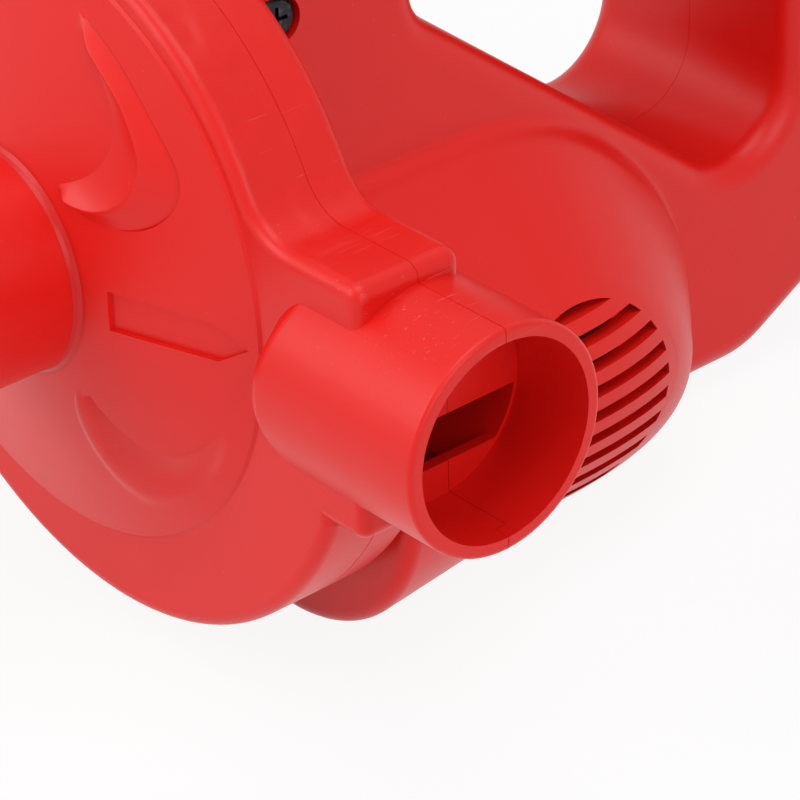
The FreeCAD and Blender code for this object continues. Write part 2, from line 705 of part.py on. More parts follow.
def vent_slots():
    """Horizontal slots within a round field, through both side walls."""
    inner = BODY_HALF_T + 2
    outer = BULGE_HALF_W + 1
    slots = []
    for index in range(VENT_SLOTS):
        z = VENT_SLOT_TOP - index * VENT_PITCH
        slots.append(block(inner, outer, VENT_Y - VENT_R, VENT_Y + VENT_R,
                           z - VENT_SLOT_HIGH / 2, z + VENT_SLOT_HIGH / 2))
    right = Part.makeCompound(slots).common(rod_x(inner, outer, VENT_Y, VENT_Z, VENT_R))
    return right.fuse(right.mirror(Vector(0, 0, 0), Vector(1, 0, 0)))


def vent_ribs():
    """Upright rib behind the slots on each side, following the wall."""
    slab = block(BODY_HALF_T, BULGE_HALF_W, VENT_RIB_Y, VENT_RIB_Y + VENT_RIB_THICK,
                 VENT_Z - VENT_R - VENT_PITCH, VENT_Z + VENT_R + VENT_PITCH)
    right = slab.common(bulge(BODY_WALL)).cut(bulge(BODY_WALL + VENT_RIB_DEEP))
    return right.fuse(right.mirror(Vector(0, 0, 0), Vector(1, 0, 0)))


def motor_saddles():
    """Cross ribs on both sides of the rubber ring round the motor."""
    ribs = []
    for y in (RING_START - RIB_THICK, RING_START + RING_LONG):
        rib = block(-BODY_HALF_T, BODY_HALF_T, y, y + RIB_THICK, -BODY_HALF_T - 3, BODY_HALF_T)
        ribs.append(rib.cut(rod_y(y - 1, y + RIB_THICK + 1, 0, 0, MOTOR_R + 1)))
    return Part.makeCompound(ribs)


def body_shells():
    """Right and left halves of body and handle."""
    inner = body_inside()
    shell = body_outside().cut(inner).cut(vent_slots())
    posts = [rod_x(-BODY_HALF_T, BODY_HALF_T, y, z, POST_R) for y, z in BODY_SCREW_POSTS]
    shell = shell.fuse(fuse_all(posts + [vent_ribs(), motor_saddles()]).common(inner))
    shell = shell.cut(rod_y(0, BODY_FRONT + BODY_WALL + 1, 0, 0, COLLAR_R + COLLAR_FIT))
    shell = shell.cut(switch_cutout())
    shell = shell.cut(rod_y(HANDLE_REAR - BODY_WALL * 2, HANDLE_REAR + 1, 0, CORD_HOLE_Z,
                            BUSH_BODY_R + HOLDER_FIT))
    right = shell.common(block(0, 100, 0, 200, -100, 100))
    left = shell.common(block(-100, -POST_GAP, 0, 200, -100, 100))
    for y, z in BODY_SCREW_POSTS:
        right = right.cut(rod_x(-1, BODY_HALF_T + 1, y, z, BODY_SCREW_HOLE_R))
        right = right.cut(rod_x(BODY_HALF_T - HEAD_BORE_DEEP, BODY_HALF_T + 1, y, z, HEAD_BORE_R))
        left = left.cut(rod_x(-BODY_HALF_T + 2 * BODY_WALL, 1, y, z, BODY_PILOT_R))
    return right.removeSplitter(), left.removeSplitter()


def body_screws():
    seat = BODY_HALF_T - HEAD_BORE_DEEP
    screws = []
    for y, z in BODY_SCREW_POSTS:
        piece = screw(-BODY_SCREW_LONG, 0, 0, 0, BODY_SCREW_HEAD_R, BODY_SCREW_HEAD_HIGH, BODY_SCREW_R)
        piece.rotate(Vector(0, 0, 0), Vector(0, 0, 1), -90)
        piece.translate(Vector(seat, y, z))
        screws.append(piece)
    return Part.makeCompound(screws)


def impeller():
    """Closed impeller: back plate, swept blades and a coned shroud round the eye."""
    plate_y = FAN_BACK_Y - FAN_PLATE
    shroud = lathe_y([(FAN_R, FAN_TIP_Y), (FAN_EYE_R, FAN_EYE_Y), (FAN_EYE_R, FAN_EYE_Y + FAN_PLATE),
                      (FAN_R, FAN_TIP_Y + FAN_PLATE)])
    pieces = [rod_y(plate_y, FAN_BACK_Y, 0, 0, FAN_R), shroud, rod_y(FAN_HUB_FRONT, FAN_BACK_Y, 0, 0, FAN_HUB_R)]
    sink = FAN_PLATE / 2
    tip_y = FAN_TIP_Y + (FAN_EYE_Y - FAN_TIP_Y) * (FAN_R - FAN_BLADE_R) / (FAN_R - FAN_EYE_R)
    room = lathe_y([(FAN_BLADE_INNER_R, FAN_EYE_Y + sink), (FAN_EYE_R, FAN_EYE_Y + sink),
                    (FAN_BLADE_R, tip_y + sink), (FAN_BLADE_R, plate_y + sink),
                    (FAN_BLADE_INNER_R, plate_y + sink)])
    sweep_r = FAN_R * 0.62
    arc = rod_y(FAN_EYE_Y, FAN_BACK_Y, sweep_r, 0, sweep_r)
    arc = arc.cut(rod_y(FAN_EYE_Y - 1, FAN_BACK_Y + 1, sweep_r, 0, sweep_r - FAN_BLADE_THICK))
    arc = arc.common(block(-1, FAN_R, FAN_EYE_Y, FAN_BACK_Y, 0, FAN_R)).common(room)
    for index in range(FAN_BLADES):
        blade = arc.copy()
        blade.rotate(Vector(0, 0, 0), Vector(0, 1, 0), 360 / FAN_BLADES * index)
        pieces.append(blade)
    return fuse_all(pieces).cut(rod_y(FAN_EYE_Y, FAN_BACK_Y + 1, 0, 0, SHAFT_R + SHAFT_FIT))


def ring_y(y0, y1, inner, outer):
    return rod_y(y0, y1, 0, 0, outer).cut(rod_y(y0 - 1, y1 + 1, 0, 0, inner))


def fan_washer():
    return ring_y(FAN_HUB_FRONT - WASHER_THICK, FAN_HUB_FRONT, SHAFT_R + SHAFT_FIT, WASHER_R)


def fan_nut():
    y1 = FAN_HUB_FRONT - WASHER_THICK
    radius = NUT_FLATS / math.sqrt(3)
    points = [Vector(radius * math.cos(math.radians(60 * k)), y1 - NUT_HIGH,
                     radius * math.sin(math.radians(60 * k))) for k in range(7)]
    nut = Part.Face(Part.makePolygon(points)).extrude(Vector(0, NUT_HIGH, 0))
    return nut.cut(rod_y(y1 - NUT_HIGH - 1, y1 + 1, 0, 0, SHAFT_R + SHAFT_FIT))


def rotor_shaft():
    shaft = rod_y(SHAFT_FRONT, MOTOR_END - BELL_WALL - 0.5, 0, 0, SHAFT_R)
    return shaft.makeChamfer(0.4, [shaft.Edges[0], shaft.Edges[2]])


def motor_can():
    can = rod_y(MOTOR_Y, BELL_Y, 0, 0, MOTOR_R)
    can = bevel_edges(can, CAN_WALL * 0.6, lambda edge: edge.BoundBox.YMax < MOTOR_Y + 0.01)
    nose = rod_y(MOTOR_Y - NOSE_LONG, MOTOR_Y + 1, 0, 0, NOSE_R)
    can = can.fuse(nose).cut(rod_y(MOTOR_Y + CAN_WALL, BELL_Y + 1, 0, 0, MOTOR_R - CAN_WALL))
    can = can.cut(rod_y(bearing_y(), BELL_Y, 0, 0, BEARING_R + SHAFT_FIT))
    can = can.cut(rod_y(0, BELL_Y, 0, 0, SHAFT_R + RACE_THICK))
    for x, z in motor_screw_places():
        can = can.cut(rod_y(0, MOTOR_Y + 2 * CAN_WALL, x, z, SCREW_PILOT_R))
    return can


def bearing_y():
    return MOTOR_Y - NOSE_LONG + NOSE_WALL


def bush_end():
    return MOTOR_END - BELL_WALL / 2


def motor_end_bell():
    """Moulded end bell with the seat of the rear bush and two terminal slots."""
    bell = rod_y(BELL_Y, MOTOR_END, 0, 0, MOTOR_R)
    bell = bevel_edges(bell, BELL_WALL * 0.6, lambda edge: edge.BoundBox.YMin > MOTOR_END - 0.01)
    bell = bell.cut(rod_y(BELL_Y - 1, MOTOR_END - BELL_WALL, 0, 0, MOTOR_R - BELL_WALL))
    seat = rod_y(bush_end() - BUSH_LONG, MOTOR_END, 0, 0, BUSH_R + BUSH_SEAT_WALL)
    bell = bell.fuse(seat).cut(rod_y(BELL_Y, bush_end(), 0, 0, BUSH_R + SHAFT_FIT))
    half_x = TERMINAL_WIDE / 2 + HOLDER_FIT
    half_z = TERMINAL_THICK / 2 + HOLDER_FIT
    for side in (-TERMINAL_X, TERMINAL_X):
        bell = bell.cut(block(side - half_x, side + half_x, MOTOR_END - BELL_WALL - 1, MOTOR_END + 1,
                              -half_z, half_z))
    return bell.removeSplitter()


def front_bearing():
    """Shielded ball bearing: two rings with the thin shields set back between them."""
    y0 = bearing_y()
    y1 = y0 + BEARING_LONG
    bore = SHAFT_R + SHAFT_FIT
    inner = SHAFT_R + RACE_THICK
    outer = BEARING_R - RACE_THICK
    return lathe_y([(bore, y0), (inner, y0), (inner, y0 + SHIELD_RECESS), (outer, y0 + SHIELD_RECESS),
                    (outer, y0), (BEARING_R, y0), (BEARING_R, y1), (outer, y1), (outer, y1 - SHIELD_RECESS),
                    (inner, y1 - SHIELD_RECESS), (inner, y1), (bore, y1)])


def rear_bush():
    return ring_y(bush_end() - BUSH_LONG, bush_end(), SHAFT_R + SHAFT_FIT, BUSH_R)


def field_magnets():
    y0 = CORE_Y + (CORE_LONG - MAGNET_LONG) / 2
    pieces = []
    for side in (0, 180):
        piece = Part.makeCylinder(MAGNET_R, MAGNET_LONG, Vector(0, y0, 0), Vector(0, 1, 0), MAGNET_ARC)
        piece = piece.cut(rod_y(y0 - 1, y0 + MAGNET_LONG + 1, 0, 0, MAGNET_R - MAGNET_THICK))
        piece.rotate(Vector(0, 0, 0), Vector(0, 1, 0), side - MAGNET_ARC / 2)
        pieces.append(piece)
    return Part.makeCompound(pieces)


def slot_centres():
    turns = [math.radians(360 / CORE_SLOTS * index) for index in range(CORE_SLOTS)]
    return [(CORE_REACH * math.cos(turn), CORE_REACH * math.sin(turn)) for turn in turns]


def armature_core():
    end = CORE_Y + CORE_LONG
    core = ring_y(CORE_Y, end, SHAFT_R + SHAFT_FIT, CORE_R)
    mouth_half = CORE_SLOT_R * 0.35
    for index, (x, z) in enumerate(slot_centres()):
        mouth = block(CORE_REACH, CORE_R + 1, CORE_Y - 1, end + 1, -mouth_half, mouth_half)
        mouth.rotate(Vector(0, 0, 0), Vector(0, 1, 0), -360 / CORE_SLOTS * index)
        core = core.cut(mouth).cut(rod_y(CORE_Y - 1, end + 1, x, z, CORE_SLOT_R))
    return core


def armature_windings():
    """End turns at both ends of the core, joined by the bundles in its slots."""
    low = CORE_Y - COIL_HIGH
    end = CORE_Y + CORE_LONG
    high = end + COIL_HIGH
    outer = CORE_REACH + CORE_SLOT_R * 0.8
    pieces = [ring_y(low, CORE_Y, SHAFT_R + 1, outer), ring_y(end, high, SHAFT_R + 1, outer)]
    pieces = [bevel_edges(piece, COIL_HIGH * 0.3, lambda edge: edge.BoundBox.XMax > outer - 0.1)
              for piece in pieces]
    for x, z in slot_centres():
        pieces.append(rod_y(low + COIL_HIGH / 2, high - COIL_HIGH / 2, x, z, CORE_SLOT_R - 0.3))
    return fuse_all(pieces)


def commutator():
    y0 = BELL_Y + COMMUTATOR_START
    y1 = y0 + COMMUTATOR_LONG
    riser = COMMUTATOR_R + 1.2
    ring = ring_y(y0, y1, SHAFT_R + SHAFT_FIT, COMMUTATOR_R)
    ring = ring.fuse(ring_y(y0, y0 + 1, SHAFT_R + SHAFT_FIT, riser))
    for index in range(COMMUTATOR_BARS):
        groove = block(COMMUTATOR_R - 0.9, riser + 1, y0 - 1, y1 + 1, -BAR_GAP / 2, BAR_GAP / 2)
        groove.rotate(Vector(0, 0, 0), Vector(0, 1, 0), 360 / COMMUTATOR_BARS * index)
        ring = ring.cut(groove)
    return ring


def cooling_fan():
    y0 = MOTOR_Y + COOLING_FAN_START
    pieces = [ring_y(y0, y0 + 1, SHAFT_R + SHAFT_FIT, COOLING_FAN_R),
              ring_y(y0, y0 + COOLING_FAN_HIGH, SHAFT_R + SHAFT_FIT, SHAFT_R + 2.5)]
    for index in range(COOLING_BLADES):
        blade = block(SHAFT_R + 2, COOLING_FAN_R, y0, y0 + COOLING_FAN_HIGH, -0.5, 0.5)
        blade.rotate(Vector(0, 0, 0), Vector(0, 1, 0), 360 / COOLING_BLADES * index)
        pieces.append(blade)
    return fuse_all(pieces)


def brush_parts():
    """Brass holders, carbon brushes and springs on both sides of the commutator."""
    holders, brushes, springs = [], [], []
    y = BELL_Y + BRUSH_START
    half_y = BRUSH_TALL / 2
    half_z = BRUSH_WIDE / 2
    start = COMMUTATOR_R + SEAT_GAP
    fit = HOLDER_FIT
    wall = HOLDER_WALL + fit
    end = math.sqrt((MOTOR_R - BELL_WALL) ** 2 - (half_z + wall) ** 2) - SEAT_GAP
    tube = block(start + HOLDER_START, end, y - half_y - wall, y + half_y + wall,
                 -half_z - wall, half_z + wall)
    tube = tube.cut(block(start, end - HOLDER_WALL, y - half_y - fit, y + half_y + fit,
                          -half_z - fit, half_z + fit))
    brush = block(start, start + BRUSH_LONG, y - half_y, y + half_y, -half_z, half_z)
    spring = rod_x(start + BRUSH_LONG, end - HOLDER_WALL, y, 0, SPRING_R)
    spring = spring.cut(rod_x(start, end, y, 0, SPRING_R - SPRING_WALL))
    for source, target in ((tube, holders), (brush, brushes), (spring, springs)):
        target.append(source)
        target.append(source.mirror(Vector(0, 0, 0), Vector(1, 0, 0)))
    return [Part.makeCompound(group) for group in (holders, brushes, springs)]


def motor_pad():
    """Felt washer between scroll and motor, inside the collar."""
    pad = ring_y(BODY_FRONT, MOTOR_Y, NOSE_R + COLLAR_FIT, MOTOR_R)
    for x, z in motor_screw_places():
        pad = pad.cut(rod_y(0, 30, x, z, SCREW_HOLE_R))
    return pad


def motor_screws():
    """Short screws from inside the scroll into the front of the motor."""
    seat = BODY_FRONT - SCROLL_WALL
    screws = []
    for x, z in motor_screw_places():
        piece = screw(-MOTOR_SCREW_LONG, 0, 0, 0, SCREW_HEAD_R, MOTOR_SCREW_HEAD, SCREW_R)
        piece.rotate(Vector(0, 0, 0), Vector(0, 0, 1), 180)
        piece.translate(Vector(x, seat, z))
        screws.append(piece)
    return Part.makeCompound(screws)


def motor_ring():
    """Rubber ring that holds the rear of the motor between the body halves."""
    return ring_y(RING_START + HOLDER_FIT, RING_START + RING_LONG - HOLDER_FIT, MOTOR_R + SEAT_GAP,
                  BODY_INNER - SEAT_GAP)


def motor_terminals():
    half_x = TERMINAL_WIDE / 2
    half_z = TERMINAL_THICK / 2
    tabs = [block(side - half_x, side + half_x, MOTOR_END - BELL_WALL - 1, MOTOR_END + TERMINAL_LONG,
                  -half_z, half_z) for side in (-TERMINAL_X, TERMINAL_X)]
    return Part.makeCompound(tabs)


def rectifier_board():
    """Circuit board on the motor's tabs, with its diodes below the capacitor."""
    y0 = MOTOR_END + BOARD_GAP
    back = y0 + BOARD_THICK
    board = block(-BOARD_HALF_W, BOARD_HALF_W, y0, back, BOARD_LOW, BOARD_TOP)
    half_x = TERMINAL_WIDE / 2 + HOLDER_FIT
    half_z = TERMINAL_THICK / 2 + HOLDER_FIT
    for side in (-TERMINAL_X, TERMINAL_X):
        board = board.cut(block(side - half_x, side + half_x, y0 - 1, back + 1, -half_z, half_z))
    for index in range(DIODES):
        z = CAPACITOR_LOW - DIODE_PITCH * (index + 1)
        board = board.fuse(rod_x(-3 * DIODE_R, 3 * DIODE_R, back + DIODE_R * 0.9, z, DIODE_R))
    return board.removeSplitter()


def capacitor():
    wide, deep, tall = CAPACITOR_SIZE
    y0 = MOTOR_END + BOARD_GAP + BOARD_THICK
    body = block(-wide / 2, wide / 2, y0, y0 + deep, CAPACITOR_LOW, CAPACITOR_LOW + tall)
    return round_edges(body, deep * 0.1, lambda edge: edge.BoundBox.YMin > y0 + deep - 0.01)


def switch_frame(shape):
    """Lays a piece drawn about the switch's own origin on the sloping neck."""
    rise = math.atan2(GRIP_TOP_Z - BODY_FRONT_TOP, GRIP_TOP_Y - BODY_FRONT)
    z = BODY_FRONT_TOP + (SWITCH_Y - BODY_FRONT) * math.tan(rise)
    shape.rotate(Vector(0, 0, 0), Vector(1, 0, 0), math.degrees(rise))
    shape.translate(Vector(0, SWITCH_Y, z))
    return shape


def switch_cutout():
    half_x = SWITCH_WIDE / 2 - BEZEL_WALL + 0.2
    half_y = SWITCH_LONG / 2 - BEZEL_WALL + 0.2
    return switch_frame(block(-half_x, half_x, -half_y, half_y, -BODY_WALL * 3, BODY_WALL))


def switch_housing():
    half_x = SWITCH_WIDE / 2
    half_y = SWITCH_LONG / 2
    rim = block(-half_x, half_x, -half_y, half_y, 0, BEZEL_HIGH)
    rim = round_edges(rim, 0.6, lambda edge: edge.BoundBox.ZMin > BEZEL_HIGH - 0.01)
    inset = BEZEL_WALL
    case = block(-half_x + inset, half_x - inset, -half_y + inset, half_y - inset, -SWITCH_DEEP, 0.5)
    wall = inset + ROCKER_WALL
    well = block(-half_x + wall, half_x - wall, -half_y + wall, half_y - wall, -5.5, BEZEL_HIGH + 1)
    pivot = rod_x(-half_x + inset, half_x - inset, 0, ROCKER_PIVOT, ROCKER_PIN_R + SHAFT_FIT)
    return switch_frame(fuse_all([rim, case]).cut(well).cut(pivot))


def switch_rocker():
    """Rocker tilted to its off side, on two round pins in the walls of the well."""
    well_x = SWITCH_WIDE / 2 - BEZEL_WALL - ROCKER_WALL
    half_x = well_x - ROCKER_FIT
    half_y = SWITCH_LONG / 2 - BEZEL_WALL - ROCKER_WALL - ROCKER_FIT - 0.25
    points = [Vector(-half_x, -half_y, -1.6), Vector(-half_x, 0, -4.2), Vector(-half_x, half_y, -1.6),
              Vector(-half_x, half_y, 2.4), Vector(-half_x, 0, 0.9), Vector(-half_x, -half_y, 2.4)]
    wedge = Part.Face(Part.makePolygon(points + points[:1])).extrude(Vector(2 * half_x, 0, 0))
    wedge.rotate(Vector(0, 0, ROCKER_PIVOT), Vector(1, 0, 0), -ROCKER_TILT)
    pin_x = well_x + ROCKER_PIN_LONG
    return switch_frame(wedge.fuse(rod_x(-pin_x, pin_x, 0, ROCKER_PIVOT, ROCKER_PIN_R)))


def cord_bush():
    """Rubber bush of the cord inlet, held by its inner and outer flanges."""
    outer = HANDLE_REAR
    body = rod_y(outer - BODY_WALL, outer, 0, CORD_HOLE_Z, BUSH_BODY_R)
    cap = rod_y(outer, outer + BUSH_FLANGE, 0, CORD_HOLE_Z, BUSH_FLANGE_R)
    cap = bevel_edges(cap, BUSH_FLANGE * 0.35, lambda edge: edge.BoundBox.YMin > outer + BUSH_FLANGE - 0.01)
    tail = rod_y(outer - BODY_WALL - BUSH_FLANGE, outer - BODY_WALL, 0, CORD_HOLE_Z, BUSH_FLANGE_R)
    return fuse_all([body, cap, tail]).cut(rod_y(outer - 20, outer + 20, 0, CORD_HOLE_Z, CORD_R))


def export(name, shape):
    shape.translate(SHIFT)
    shape.exportStep("parts/" + name + ".step")
    print(name, len(shape.Solids), "valid", shape.isValid(), "volume", round(shape.Volume))


os.makedirs("parts", exist_ok=True)
right_shell, left_shell = body_shells()
brush_holders, carbon_brushes, brush_springs = brush_parts()
export("front_scroll_shell", front_scroll_shell())
export("rear_scroll_shell", rear_scroll_shell())
export("scroll_screws", scroll_screws())
export("right_body_shell", right_shell)
export("left_body_shell", left_shell)
export("body_screws", body_screws())
export("impeller", impeller())
export("fan_washer", fan_washer())
export("fan_nut", fan_nut())
export("rotor_shaft", rotor_shaft())
export("motor_can", motor_can())
export("motor_end_bell", motor_end_bell())
export("front_bearing", front_bearing())
export("rear_bush", rear_bush())
export("field_magnets", field_magnets())
export("armature_core", armature_core())
export("armature_windings", armature_windings())
export("commutator", commutator())
export("cooling_fan", cooling_fan())
export("brush_holders", brush_holders)
export("carbon_brushes", carbon_brushes)
export("brush_springs", brush_springs)
export("motor_pad", motor_pad())
export("motor_screws", motor_screws())
export("motor_ring", motor_ring())
export("motor_terminals", motor_terminals())
export("rectifier_board", rectifier_board())
export("capacitor", capacitor())
export("switch_housing", switch_housing())
export("switch_rocker", switch_rocker())
export("cord_bush", cord_bush())
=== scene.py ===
import math

import bmesh
import bpy
from mathutils import Matrix, Vector


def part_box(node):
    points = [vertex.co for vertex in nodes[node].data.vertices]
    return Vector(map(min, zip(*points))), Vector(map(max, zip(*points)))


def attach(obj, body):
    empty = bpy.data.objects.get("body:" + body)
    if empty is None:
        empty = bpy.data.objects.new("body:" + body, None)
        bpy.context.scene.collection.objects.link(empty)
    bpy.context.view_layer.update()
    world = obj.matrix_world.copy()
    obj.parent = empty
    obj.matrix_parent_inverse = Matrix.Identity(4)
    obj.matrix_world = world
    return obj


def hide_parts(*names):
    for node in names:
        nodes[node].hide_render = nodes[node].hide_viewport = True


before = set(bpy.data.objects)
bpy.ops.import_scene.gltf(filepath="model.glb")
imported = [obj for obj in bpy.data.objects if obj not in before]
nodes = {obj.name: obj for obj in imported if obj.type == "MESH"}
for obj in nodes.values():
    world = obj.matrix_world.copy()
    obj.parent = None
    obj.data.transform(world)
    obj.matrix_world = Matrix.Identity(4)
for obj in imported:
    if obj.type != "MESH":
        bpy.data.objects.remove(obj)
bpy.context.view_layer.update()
scene = bpy.context.scene
scene.view_settings.view_transform = "Standard"

# Camera: close on the outlet pipe, from the front right and thirty degrees above,
# with a long lens and a very small lean of the horizon.
camera_place = Vector((0.44679, -0.39440, 0.36880))
camera_aim = Vector((0.04100, -0.04646, 0.05471))
camera_lean = math.radians(-1.62)
lens = bpy.data.cameras.new("studio_camera")
lens.lens = 180
lens.sensor_width = 36
lens.clip_end = 20
camera = bpy.data.objects.new("studio_camera", lens)
turn = (camera_aim - camera_place).to_track_quat("-Z", "Y").to_matrix().to_4x4()
camera.matrix_world = Matrix.Translation(camera_place) @ turn @ Matrix.Rotation(camera_lean, 4, "Z")
scene.collection.objects.link(camera)
scene.camera = camera


# Studio floor and lights: a pale flat floor that the camera sees almost white while it still
# holds a soft shadow, a pale room, and three broad diffusers: front left, overhead and at the right.
class Pattern:
    """A value or colour that varies over a surface; arithmetic on it adds Math nodes."""

    def __init__(self, socket):
        self.socket = socket

    @staticmethod
    def feed(socket, value):
        """Links a pattern to a node's socket, or sets a plain value on it."""
        if isinstance(value, Pattern):
            socket.id_data.links.new(value.socket, socket)
        else:
            socket.default_value = value

    @classmethod
    def node(cls, material, kind, settings=None, inputs=None, output=0):
        """Adds any other node: its type, its settings, then the values or links of its sockets."""
        made = material.node_tree.nodes.new(kind)
        for name, value in (settings or {}).items():
            setattr(made, name, value)
        for name, value in (inputs or {}).items():
            cls.feed(made.inputs[name], value)
        return cls(made.outputs[output])

    def maths(self, operation, first, second, clamp=False):
        """Adds one Math node beside this pattern's own node; a side may be a plain number."""
        made = self.socket.id_data.nodes.new("ShaderNodeMath")
        made.operation = operation
        made.use_clamp = clamp
        self.feed(made.inputs[0], first)
        self.feed(made.inputs[1], second)
        return Pattern(made.outputs[0])

    def __add__(self, other):
        return self.maths("ADD", self, other)

    __radd__ = __add__

    def __sub__(self, other):
        return self.maths("SUBTRACT", self, other)

    def __rsub__(self, other):
        return self.maths("SUBTRACT", other, self)

    def __mul__(self, other):
        return self.maths("MULTIPLY", self, other)

    __rmul__ = __mul__

    def __gt__(self, other):
        return self.maths("GREATER_THAN", self, other)

    def __lt__(self, other):
        return self.maths("LESS_THAN", self, other)


def cleared(holder):
    """The material or world, ready for its own nodes."""
    holder.use_nodes = True
    holder.node_tree.nodes.clear()
    return holder


def set_surface(holder, shader, output="ShaderNodeOutputMaterial"):
    ending = holder.node_tree.nodes.new(output)
    Pattern.feed(ending.inputs["Surface"], shader)


def seen_directly(holder, share):
    """That share for what the camera sees itself, in a reflection or through a clear piece."""
    straight, mirrored, through = (Pattern.node(holder, "ShaderNodeLightPath", output=kind)
                                   for kind in ("Is Camera Ray", "Is Glossy Ray", "Is Transmission Ray"))
    return (straight + mirrored + through) * share


def add_object(name, form, material):
    """The finished mesh as an object of its own in the scene, with this one material."""
    data = bpy.data.meshes.new(name)
    form.to_mesh(data)
    form.free()
    data.materials.append(material)
    made = bpy.data.objects.new(name, data)
    scene.collection.objects.link(made)
    return made


def add_diffuser(name, place, target, size, watts):
    lamp = bpy.data.lights.new(name, "AREA")
    lamp.size = size
    lamp.energy = watts
    holder = bpy.data.objects.new(name, lamp)
    holder.location = place
    holder.rotation_euler = (Vector(target) - Vector(place)).to_track_quat("-Z", "Y").to_euler()
    holder.visible_camera = False
    scene.collection.objects.link(holder)


white = (1, 1, 1, 1)
floor_grey = (0.88, 0.88, 0.885, 1)
floor_half_width = 4
blower_middle = (0, 0, 0.07)

pale_floor = cleared(bpy.data.materials.new("pale_floor"))
matt = Pattern.node(pale_floor, "ShaderNodeBsdfDiffuse", inputs={"Color": floor_grey})
glow = Pattern.node(pale_floor, "ShaderNodeEmission", inputs={"Color": white, "Strength": 1.0})
set_surface(pale_floor, Pattern.node(pale_floor, "ShaderNodeMixShader",
                                     inputs={0: seen_directly(pale_floor, 0.90), 1: matt, 2: glow}))
floor_form = bmesh.new()
bmesh.ops.create_grid(floor_form, x_segments=1, y_segments=1, size=floor_half_width)
studio_floor = add_object("studio_floor", floor_form, pale_floor)

room = cleared(bpy.data.worlds.new("pale_room"))
dim_wall = Pattern.node(room, "ShaderNodeBackground", inputs={"Color": white, "Strength": 0.42})
white_wall = Pattern.node(room, "ShaderNodeBackground", inputs={"Color": white, "Strength": 1.0})
mixed_wall = Pattern.node(room, "ShaderNodeMixShader",
                          inputs={0: seen_directly(room, 1.0), 1: dim_wall, 2: white_wall})
set_surface(room, mixed_wall, output="ShaderNodeOutputWorld")
scene.world = room

add_diffuser("front_diffuser", (-0.50, -1.12, 0.78), (0, -0.03, 0.07), size=0.9, watts=8.2)
add_diffuser("top_diffuser", (0.20, -0.10, 1.35), blower_middle, size=0.9, watts=7.0)
add_diffuser("side_diffuser", (1.25, -0.22, 0.62), blower_middle, size=0.8, watts=4.6)


# Scroll and body shells: four injection moulded halves in red ABS with a satin finish,
# screwed together on two split lines; the finish has faint flow marks, specks and scuffs, and a
# ring of painted shade darkens the red round the root of the inlet pipe.
def object_place(material, scale=(1, 1, 1), turn=(0, 0, 0), move=None):
    """Place on the blower in metres, moved, then stretched and turned for a pattern."""
    place = Pattern.node(material, "ShaderNodeTexCoord", output="Object")
    if move is not None:
        place = Pattern.node(material, "ShaderNodeVectorMath", {"operation": "ADD"}, {0: place, 1: move})
    return Pattern.node(material, "ShaderNodeMapping",
                        inputs={"Vector": place, "Scale": scale, "Rotation": turn})


def along_axis(material, place):
    """How far back a place lies, along the axis that the inlet and the rotor share."""
    return Pattern.node(material, "ShaderNodeSeparateXYZ", inputs={"Vector": place}, output="Y")


def clouds(material, place, scale, detail=2.0, roughness=0.5):
    return Pattern.node(material, "ShaderNodeTexNoise",
                        inputs={"Vector": place, "Scale": scale, "Detail": detail, "Roughness": roughness})


def cells(material, place, scale, feature="F1"):
    """How far each place lies from the nearest of many scattered points."""
    return Pattern.node(material, "ShaderNodeTexVoronoi", {"feature": feature},
                        {"Vector": place, "Scale": scale})


def between(material, value, low, high):
    """The value spread from 0 at low to 1 at high, softly."""
    return Pattern.node(material, "ShaderNodeMapRange", {"interpolation_type": "SMOOTHSTEP"},
                        {"Value": value, "From Min": low, "From Max": high})


def blend_colours(material, share, first, second):
    """The first colour where the share is 0 and the second where it is 1."""
    first_colour, second_colour, blended_colour = 6, 7, 2
    return Pattern.node(material, "ShaderNodeMix", {"data_type": "RGBA"},
                        {"Factor": share, first_colour: first, second_colour: second},
                        output=blended_colour)


def relief(material, height, distance):
    """The height as bumps and hollows of the surface, as deep as the distance in metres."""
    return Pattern.node(material, "ShaderNodeBump", inputs={"Height": height, "Distance": distance})


def make_finish(name, sockets):
    """A material with one Principled shader, whose sockets get these values or patterns."""
    material = cleared(bpy.data.materials.new(name))
    set_surface(material, Pattern.node(material, "ShaderNodeBsdfPrincipled", inputs=sockets(material)))
    return material


def fit_finish(material, *names):
    for name in names:
        data = nodes[name].data
        data.materials.clear()
        data.materials.append(material)


def near(material, place, centre, radius, full=0.35):
    """1 about a spot, as far as the full share of the radius, then falling softly to 0 at it."""
    gap = Pattern.node(material, "ShaderNodeVectorMath", {"operation": "DISTANCE"},
                       {0: place, 1: centre}, output="Value")
    return 1 - between(material, gap, radius * full, radius)


def scratch_lines(material, turn, scale, cut, lengthwise=0.03, soft_edge=0.02):
    """Thin straight scratches along one direction; the lower the cut, the more there are."""
    stretched = object_place(material, (scale, scale * lengthwise, scale), turn)
    streaks = clouds(material, stretched, scale=1.0, detail=1.0)
    return between(material, streaks, cut, cut + soft_edge)


# The drawing's zero in the frame, in millimetres: on the axis of inlet and rotor, where the
# scroll is split.
zero_x, zero_y, zero_z = -17.606, -56.0, 69.0
inlet_axis = Vector((zero_x / 1000, 0, zero_z / 1000))

red_deep = (0.685, 0.0075, 0.0045, 1)
red_bright = (0.745, 0.0090, 0.0058, 1)
red_scuffed = (0.820, 0.1500, 0.1250, 1)
# Painted shade: the darker red laid in a ring round the root of the inlet pipe.
painted_shade_red = (0.420, 0.0015, 0.0030, 1)

pipe_seam = (0.0600, -0.0560, 0.0860)
duct_corner = (0.0330, -0.0560, 0.1000)
rim_smudge = (-0.0300, -0.0600, 0.1210)

rim_starts = (0.0510, 0.0535)
rim_ends = (0.0640, 0.0680)
rim_turns_aside = 0.3
scroll_back = -0.0368
# Where the painted shade round the inlet pipe's root lies: from the pipe's radius out, and along the axis.
pipe_radius = 0.01885
root_ends = (0.0197, 0.0206)
root_front, root_back = -0.0789, -0.0765


